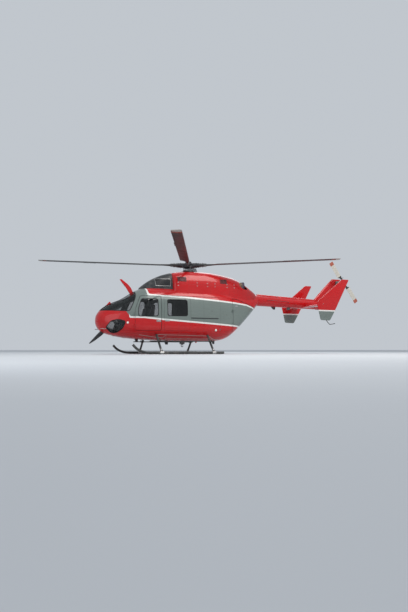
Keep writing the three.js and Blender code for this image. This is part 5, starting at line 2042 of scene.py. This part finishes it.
# %% [markdown]
# Round caps and square access doors lie in the rear side walls, flush but for a hair, so that their
# edge is what shows. The caps are turned, and the doors are a thin layer of the skin itself.

# %% Caps and access doors
CAPS = ((-0.6, 1.52, 0.062), (-1.18, 1.4, 0.035))  # station, height, radius
HATCHES = (
    [(-0.36, 1.22), (-0.36, 0.94), (-0.02, 0.94), (-0.02, 1.14)],
    [(-1.36, 1.62), (-1.36, 1.28), (-1.05, 1.28), (-1.05, 1.62)],
)
HATCH_LAYER = skin_layer(-0.0022, 0.004)

for side_name, side in SIDES:
    caps = bmesh.new()
    for x, z, size in CAPS:
        y = side_at(x, z)
        turned(caps, [(0.0, 0.0), (0.0, size), (0.003, size), (0.005, size * 0.93), (0.004, size * 0.9),
                      (0.006, size * 0.3), (0.006, 0.0)], (x, y - 0.002, z), (x, y + 1, z + 0.02), 40)
        pad(caps, (x, y + 0.0065, z), (size * 1.1, 0.007, 0.012), 0.002)
    piece(f"fuel_cap_{side_name}", mirrored(caps, side), CABIN_PAINT)
    for number, corners in enumerate(HATCHES):
        hatch = kept(HATCH_LAYER, mirrored(pushed(corners, 0.2, FAR, 0.03), side))
        piece(f"access_hatch_{number + 1}_{side_name}", hatch, CABIN_PAINT)
print("caps and access doors made")

# %% [markdown]
# Inside, each swinging door has a moulded trim panel over its latch rods, with a pull to shut it by.
# The panel is a layer just inside the door's wall, within its own outline, and the pull is a bent
# tube. They ride with the door.

# %% Door trims
TRIM_LAYER = skin_layer(WALL - 0.001, WALL + 0.009)
COCKPIT_TRIM = [(1.37, 0.87), (2.14, 0.87), (2.14, 1.22), (1.37, 1.22)]
CLAMSHELL_TRIM = [(-1.52, 1.02), (-1.52, 1.86), (-1.72, 1.86), (-2.05, 1.7), (-1.92, 1.36)]
PULL_STAND = Vector((0, 0.035, 0))
DOOR_TRIMS = {  # outline, and the pull's two stations and height
    "cockpit": (COCKPIT_TRIM, (1.5, 1.84), 1.14), "clamshell": (CLAMSHELL_TRIM, (-1.58, -1.82), 1.52),
}
for side_name, side in SIDES:
    for name, (outline, stations, z) in DOOR_TRIMS.items():
        trim = kept(TRIM_LAYER, mirrored(pushed(outline, 0.2, FAR, 0.04), side))
        first, last = (Vector((x, side_at(x, z) - WALL - 0.004, z)) for x in stations)
        pull = bmesh.new()
        tube(pull, [first, first - PULL_STAND, last - PULL_STAND, last], 0.009, 12, 5)
        join(trim, mirrored(pull, side))
        body = body_of(name, side_name)
        piece(f"{name}_door_trim_{side_name}", trim, TRIM, body=body)
print(len(DOOR_TRIMS) * len(SIDES), "door trims made")

# %% [markdown]
# The cabin is dark plastic, grey cloth and a rubber floor, seen through smoked windows and whenever a
# door is open. The floor and the machinery under the cowling have the right shape in the packed
# model, so they stay, and only get a finish each.

# %% Carried-over parts


def ribbed_rubber():
    finish = Finish("ribbed_rubber", Specular_IOR_Level=0.3)
    x, y, z = finish.spot()
    ribs = y.repeat(0.03).below(0.22)
    dust = finish.span(finish.noise(4.0, 5.0, 0.6), 0.4, 0.8)
    base = finish.mix(dust * 0.35, (0.035, 0.036, 0.038), (0.16, 0.15, 0.13))
    base = finish.mix(ribs * 0.35, base, (0.07, 0.07, 0.07))
    return finish.surface(base, finish.span(dust, 0.0, 1.0, 0.55, 0.8), ribs, 0.002, 0.6)


def refinish(node, material):
    """A CAD node keeps its mesh and gets another material."""
    held = frame["nodes"][node]
    for slot in held.material_slots:
        slot.material = material


refinish("cabin_floor", ribbed_rubber())
for node in ("engine_left", "engine_right", "main_gearbox"):
    refinish(node, CASTING)
print("floor and machinery refinished")

# %% [markdown]
# The instrument panel stands on a slim pedestal between the pilots. A hood shades two screens, which
# glow with plain dials and bars that stand for no real instrument, and rows of knobs lie below them
# and on the pedestal. It is blocks with soft edges, a pushed outline and short rods.

# %% Instrument panel
FLOOR_TOP = 0.8205
PEDESTAL = ((2.14, -0.105, FLOOR_TOP), (2.55, 0.105, 1.175))
HOOD = ((2.36, -0.4, 1.382), (2.6, 0.4, 1.398))
SCREEN_Y = 0.19
DIAL_HEIGHT = 1.285
DIAL_RADIUS = 0.052


def glowing_screen():
    finish = Finish("glowing_screen", Coat_Weight=1.0, Emission_Strength=0.35, Roughness=0.1)
    x, y, z = finish.spot()
    side = abs(abs(y) - SCREEN_Y)
    up = z - DIAL_HEIGHT
    away = finish.maths("SQRT", side * side + up * up)
    ground = up.below(0.0) * away.below(0.048)
    base = finish.mix(ground, (0.01, 0.03, 0.07), (0.16, 0.09, 0.03))
    base = finish.mix(abs(away - DIAL_RADIUS).below(0.004), base, (0.5, 0.55, 0.5))
    base = finish.mix(z.repeat(0.018).below(0.12) * side.above(0.075), base, (0.05, 0.5, 0.12))
    return finish.set(Base_Color=(0.01, 0.01, 0.012), Emission_Color=base)


PANEL_OUTLINE = [(2.42, 1.125), (2.56, 1.125), (2.615, 1.335), (2.47, 1.388), (2.44, 1.35)]
HOOD_TILT = Matrix.Rotation(math.radians(8), 4, "Y")
SCREEN_LEAN = Matrix.Rotation(-0.1, 4, "Y")

panel = bmesh.new()
block(panel, *PEDESTAL, 0.012)
join(panel, plate(PANEL_OUTLINE, -0.395, 0.395, 0.01, 0.004))
piece("instrument_console_body", panel, TRIM, ("instrument_console",))
hood = bmesh.new()
block(hood, *HOOD, 0.006, HOOD_TILT)
piece("instrument_hood", hood, RUBBER)

screens = bmesh.new()
knobs = bmesh.new()
for screen_y in (SCREEN_Y, -SCREEN_Y):
    block(screens, (2.418, screen_y - 0.095, 1.215), (2.43, screen_y + 0.095, 1.35), 0.003, SCREEN_LEAN)
    for step in range(6):
        y = screen_y + (step - 2.5) * 0.03
        rod(knobs, (2.405, y, 1.185), (2.425, y, 1.185), 0.008, sides=12)
for row in range(4):
    for column in range(4):
        x = 2.2 + row * 0.055
        y = (column - 1.5) * 0.045
        rod(knobs, (x, y, 1.172), (x, y, 1.192), 0.009, 0.007, 12)
piece("panel_screens", screens, glowing_screen())
piece("panel_knobs", knobs, DARK_METAL)
print("instrument panel made")

# %% [markdown]
# Each pilot has a stick between the knees, a lever by the left hip and two pedals. Stick and lever are
# bent tubes with moulded grips, and a pedal is a plate on a rod.

# %% Controls
SEAT_Y = 0.33
LEVER_AWAY = 0.245  # from the seat's middle
PEDAL_AWAY = 0.075
STICK = ((2.16, 0.822), (2.15, 0.95), (2.06, 1.12), (2.045, 1.24))
LEVER = ((1.62, 0.86), (1.78, 0.96), (1.98, 1.09))

for side_name, side in SIDES:
    controls = bmesh.new()
    y = side * SEAT_Y
    lever_y = y + LEVER_AWAY
    tube(controls, [(x, y, z) for x, z in STICK], 0.013, 14, 5)
    tube(controls, [(x, lever_y, z) for x, z in LEVER], 0.012, 12, 5)
    for foot_y in (y - PEDAL_AWAY, y + PEDAL_AWAY):
        rod(controls, (2.58, foot_y, 0.822), (2.52, foot_y, 0.97), 0.01, sides=12)
        pad(controls, (2.5125, foot_y, 0.995), (0.015, 0.09, 0.08), 0.004)
    piece(f"flight_controls_{side_name}", controls, DARK_METAL)
    grips = bmesh.new()
    ball(grips, (2.045, y, 1.275), (0.021, 0.02, 0.048))
    rod(grips, (1.9, lever_y, 1.038), (2.0, lever_y, 1.103), 0.019)
    piece(f"control_grips_{side_name}", grips, RUBBER)
print("controls made")

# %% [markdown]
# Seat cloth is a plain weave: two sets of threads, each a distance that repeats every 4 mm,
# multiplied, and worn pale in patches. Webbing has ribs only, and both have the sheen of loose fibre.

# %% Cloth and webbing


def seat_cloth():
    finish = Finish("seat_cloth", Sheen_Weight=0.35, Specular_IOR_Level=0.25)
    x, y, z = finish.spot()
    warp = (x + z * 0.7).repeat(0.004)
    weave = finish.maths("MULTIPLY_ADD", warp, y.repeat(0.004), warp * 0.3)
    wear = finish.span(finish.noise(7.0, 5.0, 0.6), 0.4, 0.8)
    base = finish.mix(wear * 0.4, (0.05, 0.056, 0.07), (0.12, 0.125, 0.135))
    base = finish.mix(weave, base, (0.025, 0.027, 0.032))
    return finish.surface(base, finish.span(wear, 0.0, 1.0, 0.78, 0.92), weave, 0.0012, 0.6)


def webbing():
    finish = Finish("webbing", Sheen_Weight=0.2, Specular_IOR_Level=0.3)
    x, y, z = finish.spot()
    ribs = (z + x).repeat(0.005)
    base = finish.mix(ribs, (0.1, 0.1, 0.11), (0.035, 0.035, 0.04))
    return finish.surface(base, finish.span(ribs, 0.0, 0.5, 0.6, 0.8), ribs, 0.001, 0.5)


SEAT_CLOTH = seat_cloth()
WEBBING = webbing()
print("cloth and webbing ready")

# %% [markdown]
# Cushions are foam in a sewn cover. Foam pushes the cloth out until its seams hold it, which gives a
# crown in the middle and pulled-in sides. Cloth simulation with a little pressure does just that: a
# soft-edged block is remeshed evenly, blown up, and each point held within a cap.

# %% Blowing up a cushion
VOXEL = 0.0085
PRESSURE = 4.0
CUSHION_FRAMES = 20


def blown_up(size, cap):
    """A cushion of this length, width and thickness, swollen by pressure up to a cap."""
    shape = bmesh.new()
    half = Vector(size) / 2
    block(shape, -half, half, size[2] * 0.34)
    base = as_object(shape)
    shape.free()
    remesh = base.modifiers.new("even", "REMESH")
    remesh.mode = "VOXEL"
    remesh.voxel_size = VOXEL
    even = bpy.data.meshes.new_from_object(base.evaluated_get(bpy.context.evaluated_depsgraph_get()))
    base.modifiers.clear()
    base.data = even
    start = [vert.co.copy() for vert in even.vertices]
    cloth = base.modifiers.new("cloth", "CLOTH")
    cloth.settings.use_pressure = True
    cloth.settings.uniform_pressure_force = PRESSURE
    cloth.settings.effector_weights.gravity = 0.0
    for step in range(1, CUSHION_FRAMES + 1):
        bpy.context.scene.frame_set(step)
    swollen = base.evaluated_get(bpy.context.evaluated_depsgraph_get()).to_mesh()
    for vert, moved, was in zip(even.vertices, swollen.vertices, start):
        step = moved.co - was
        vert.co = was + (step.normalized() * cap if step.length > cap else step)
    bpy.context.scene.frame_set(1)
    result = bmesh.new()
    result.from_mesh(even)
    bpy.data.objects.remove(base)
    bpy.data.meshes.remove(even)
    bmesh.ops.smooth_vert(result, verts=result.verts, factor=0.5, use_axis_x=True, use_axis_y=True,
                          use_axis_z=True)
    return result


print("one cushion's cloth moves for", CUSHION_FRAMES, "frames")

# %% [markdown]
# A cover's channels are lines of stitches that pull it down into the foam, here a shallow groove
# pressed into the swollen surface. One cushion of each kind is made, because all of a kind are
# alike.

# %% Cushion kinds
CHANNEL_DEPTH = 0.006
CHANNEL_HALF = 0.016


def channelled(shape, places):
    """Sews channels across a cushion: the surface is pulled in along each line."""
    for vert in shape.verts:
        for place in places:
            off = abs(vert.co.x - place) / CHANNEL_HALF
            if off < 1:
                vert.co.z -= math.copysign(CHANNEL_DEPTH * (1 - off ** 2), vert.co.z)
    return shape


KINDS = {  # length, width, thickness, cap, and where the channels are sewn
    "pilot_seat": ((0.33, 0.37, 0.06), 0.012, (-0.055, 0.055)),
    "pilot_back": ((0.43, 0.36, 0.05), 0.012, (-0.07, 0.07)),
    "head_rest": ((0.12, 0.21, 0.05), 0.01, ()),
    "bench_seat": ((0.35, 0.37, 0.07), 0.014, (-0.06, 0.06)),
    "bench_back": ((0.45, 0.37, 0.055), 0.012, (-0.08, 0.08)),
}
CUSHIONS = {}
for kind, (size, cap, channels) in KINDS.items():
    CUSHIONS[kind] = channelled(blown_up(size, cap), channels)
    print(kind, len(CUSHIONS[kind].faces), "faces")

# %% [markdown]
# A cushion on a seat is a copy of its kind, turned to its place. Piping covers
# its seam: a thin tube round the cushion's edge, with a quarter turn at each corner.

# %% Cushions in place
PIPING_OUT = 0.004  # beyond the cushion's flat sides
PIPING_RADIUS = 0.0035
PIPING_TURN = 0.035


def cushion(name, kind, centre, lean, node=None):
    """A copy of a cushion at its place: lean turns its length from level towards upright."""
    size = KINDS[kind][0]
    shape = CUSHIONS[kind].copy()
    place = Matrix.Translation(Vector(centre)) @ Matrix.Rotation(lean, 4, "Y")
    bmesh.ops.transform(shape, matrix=place, verts=shape.verts)
    made = piece(name, shape, SEAT_CLOTH, (node,) if node else ())
    piping = bmesh.new()
    length, width = (value / 2 + PIPING_OUT - PIPING_TURN for value in size[:2])
    route = []
    for corner_x, corner_y, start in ((1, 1, 0.0), (-1, 1, 90.0), (-1, -1, 180.0), (1, -1, 270.0)):
        pivot = Vector((corner_x * length, corner_y * width, 0.0))
        for step in range(4):
            angle = math.radians(start + 30.0 * step)
            route.append(place @ (pivot + Vector((math.cos(angle), math.sin(angle), 0.0)) * PIPING_TURN))
    tube(piping, [*route, route[0]], PIPING_RADIUS, 8, 3)
    piece(f"{name}_piping", piping, WEBBING)


print("cushion kinds:", ", ".join(CUSHIONS))

# %% [markdown]
# A pilot's seat is a moulded bucket on two rails, with a cushion, a back, a head rest and a harness.
# The bucket is its side view pushed across, with a wing on each side. The belts are flat strips that
# lie on the cushions: one edge, extruded from point to point.

# %% Pilots' seats
BACK_LEAN = -math.pi / 2 - 0.16
BUCKET = [
    (1.6, 0.985), (1.95, 1.045), (1.985, 1.03), (1.97, 1.0), (1.62, 0.94), (1.525, 0.96),
    (1.5, 1.05), (1.435, 1.69), (1.475, 1.7), (1.545, 1.06),
]
BUCKET_HALF = 0.195
WING_AWAY = 0.2
WING = [
    (1.52, 0.965), (1.94, 1.02), (1.96, 1.09), (1.66, 1.115), (1.545, 1.62), (1.445, 1.66), (1.49, 1.1),
]
BELT_WIDTH = 0.042
BELT_THICKNESS = 0.003
BELT_AWAY = 0.075
BELT = [  # station, how far out the belts lie, as a share of BELT_AWAY, and height
    (1.48, 1.0, 1.64), (1.545, 1.0, 1.6), (1.608, 0.95, 1.44), (1.64, 0.8, 1.26), (1.69, 0.45, 1.15),
]


def strap(shape, route):
    """A flat belt along a route, which lies across y."""
    before = set(shape.faces)
    points = smoothed(route, 5)
    half = BELT_WIDTH / 2
    ends = [shape.verts.new(points[0] + Vector((0, offset, 0))) for offset in (-half, half)]
    front = [shape.edges.new(ends)]
    belt = []
    for point, after in zip(points, points[1:]):
        grown = bmesh.ops.extrude_edge_only(shape, edges=front)["geom"]
        moved = of_kind(grown, bmesh.types.BMVert)
        bmesh.ops.translate(shape, verts=moved, vec=after - point)
        front = [edge for edge in of_kind(grown, bmesh.types.BMEdge) if set(edge.verts) == set(moved)]
        belt += of_kind(grown, bmesh.types.BMFace)
    bmesh.ops.solidify(shape, geom=belt, thickness=BELT_THICKNESS)
    facing_out(shape, before)


for side_name, side in SIDES:
    y = side * SEAT_Y
    seat = f"pilot_seat_{side_name}"
    bucket = plate(BUCKET, y - BUCKET_HALF, y + BUCKET_HALF, 0.012, 0.006)
    for wing_y in (y - WING_AWAY, y + WING_AWAY):
        join(bucket, plate(WING, wing_y - 0.006, wing_y + 0.006, 0.02, 0.003))
    piece(f"{seat}_bucket", bucket, TRIM)
    legs = bmesh.new()
    for offset in (-0.15, 0.15):
        block(legs, (1.5, y + offset - 0.016, FLOOR_TOP), (2.0, y + offset + 0.016, 0.842), 0.003)
        rod(legs, (1.9, y + offset, 0.84), (1.82, y + offset, 1.005), 0.014, sides=14)
        rod(legs, (1.55, y + offset, 0.84), (1.63, y + offset, 0.965), 0.014, sides=14)
    piece(f"{seat}_legs", legs, ALLOY)
    cushion(f"{seat}_cushion", "pilot_seat", (1.79, y, 1.085), -0.16, seat)
    cushion(f"{seat}_back", "pilot_back", (1.56, y, 1.365), BACK_LEAN)
    cushion(f"{seat}_head_rest", "head_rest", (1.505, y, 1.69), BACK_LEAN)
    harness = bmesh.new()
    for out in (-BELT_AWAY, BELT_AWAY):
        strap(harness, [(x, y + out * spread, z) for x, spread, z in BELT])
    pad(harness, (1.692, y, 1.147), (0.04, 0.07, 0.022), 0.008)
    piece(f"{seat}_harness", harness, WEBBING)
print("pilots' seats made")

# %% [markdown]
# The rear bench seats three. Its box is an outline pushed across the cabin, and it has a cushion and
# a back for each person.

# %% Rear bench
BENCH = [
    (-0.755, FLOOR_TOP), (-0.305, FLOOR_TOP), (-0.305, 1.115), (-0.64, 1.105), (-0.745, 1.76),
    (-0.815, 1.75), (-0.77, 1.1),
]
BENCH_HALF = 0.615
BENCH_SEATS = (-0.41, 0.0, 0.41)

bench = plate(BENCH, -BENCH_HALF, BENCH_HALF, 0.015, 0.006)
piece("bench_frame", bench, TRIM_PALE)
for number, y in enumerate(BENCH_SEATS):
    node = None if number else "cabin_bench"
    cushion(f"bench_cushion_{number + 1}", "bench_seat", (-0.475, y, 1.155), -0.03, node)
    cushion(f"bench_back_{number + 1}", "bench_back", (-0.655, y, 1.455), BACK_LEAN)
print("bench made")

# %% [markdown]
# The floor is a wide, plain, pale sheet. It is part of the studio and not of the aircraft. Seen from
# underneath it is clear, so that the belly can be looked at as well.

# %% Floor
FLOOR_SIZE = 400.0


def floor_finish():
    finish = Finish("studio_floor", Specular_IOR_Level=0.2)
    shade = finish.span(finish.noise(0.35, 3.0), 0.2, 0.8)
    base = finish.mix(shade, (0.6, 0.62, 0.65), (0.64, 0.66, 0.68))
    under = finish.node("ShaderNodeNewGeometry", output="Backfacing")
    clear = finish.node("ShaderNodeBsdfTransparent")
    solid = Wire(finish, finish.shader.outputs[0])
    blend = finish.node("ShaderNodeMixShader", sockets={0: under, 1: solid, 2: clear})
    finish.plug(finish.out.inputs["Surface"], blend)
    return finish.set(Base_Color=base, Roughness=finish.span(shade, 0.0, 1.0, 0.75, 0.85))


floor_shape = bmesh.new()
bmesh.ops.create_grid(floor_shape, x_segments=1, y_segments=1, size=FLOOR_SIZE / 2)
floor_mesh = bpy.data.meshes.new("studio_floor")
floor_shape.to_mesh(floor_mesh)
floor_mesh.materials.append(floor_finish())
floor = added("studio_floor", floor_mesh)
print("floor laid")

# %% [markdown]
# The visual model must not be bigger than the packed one.
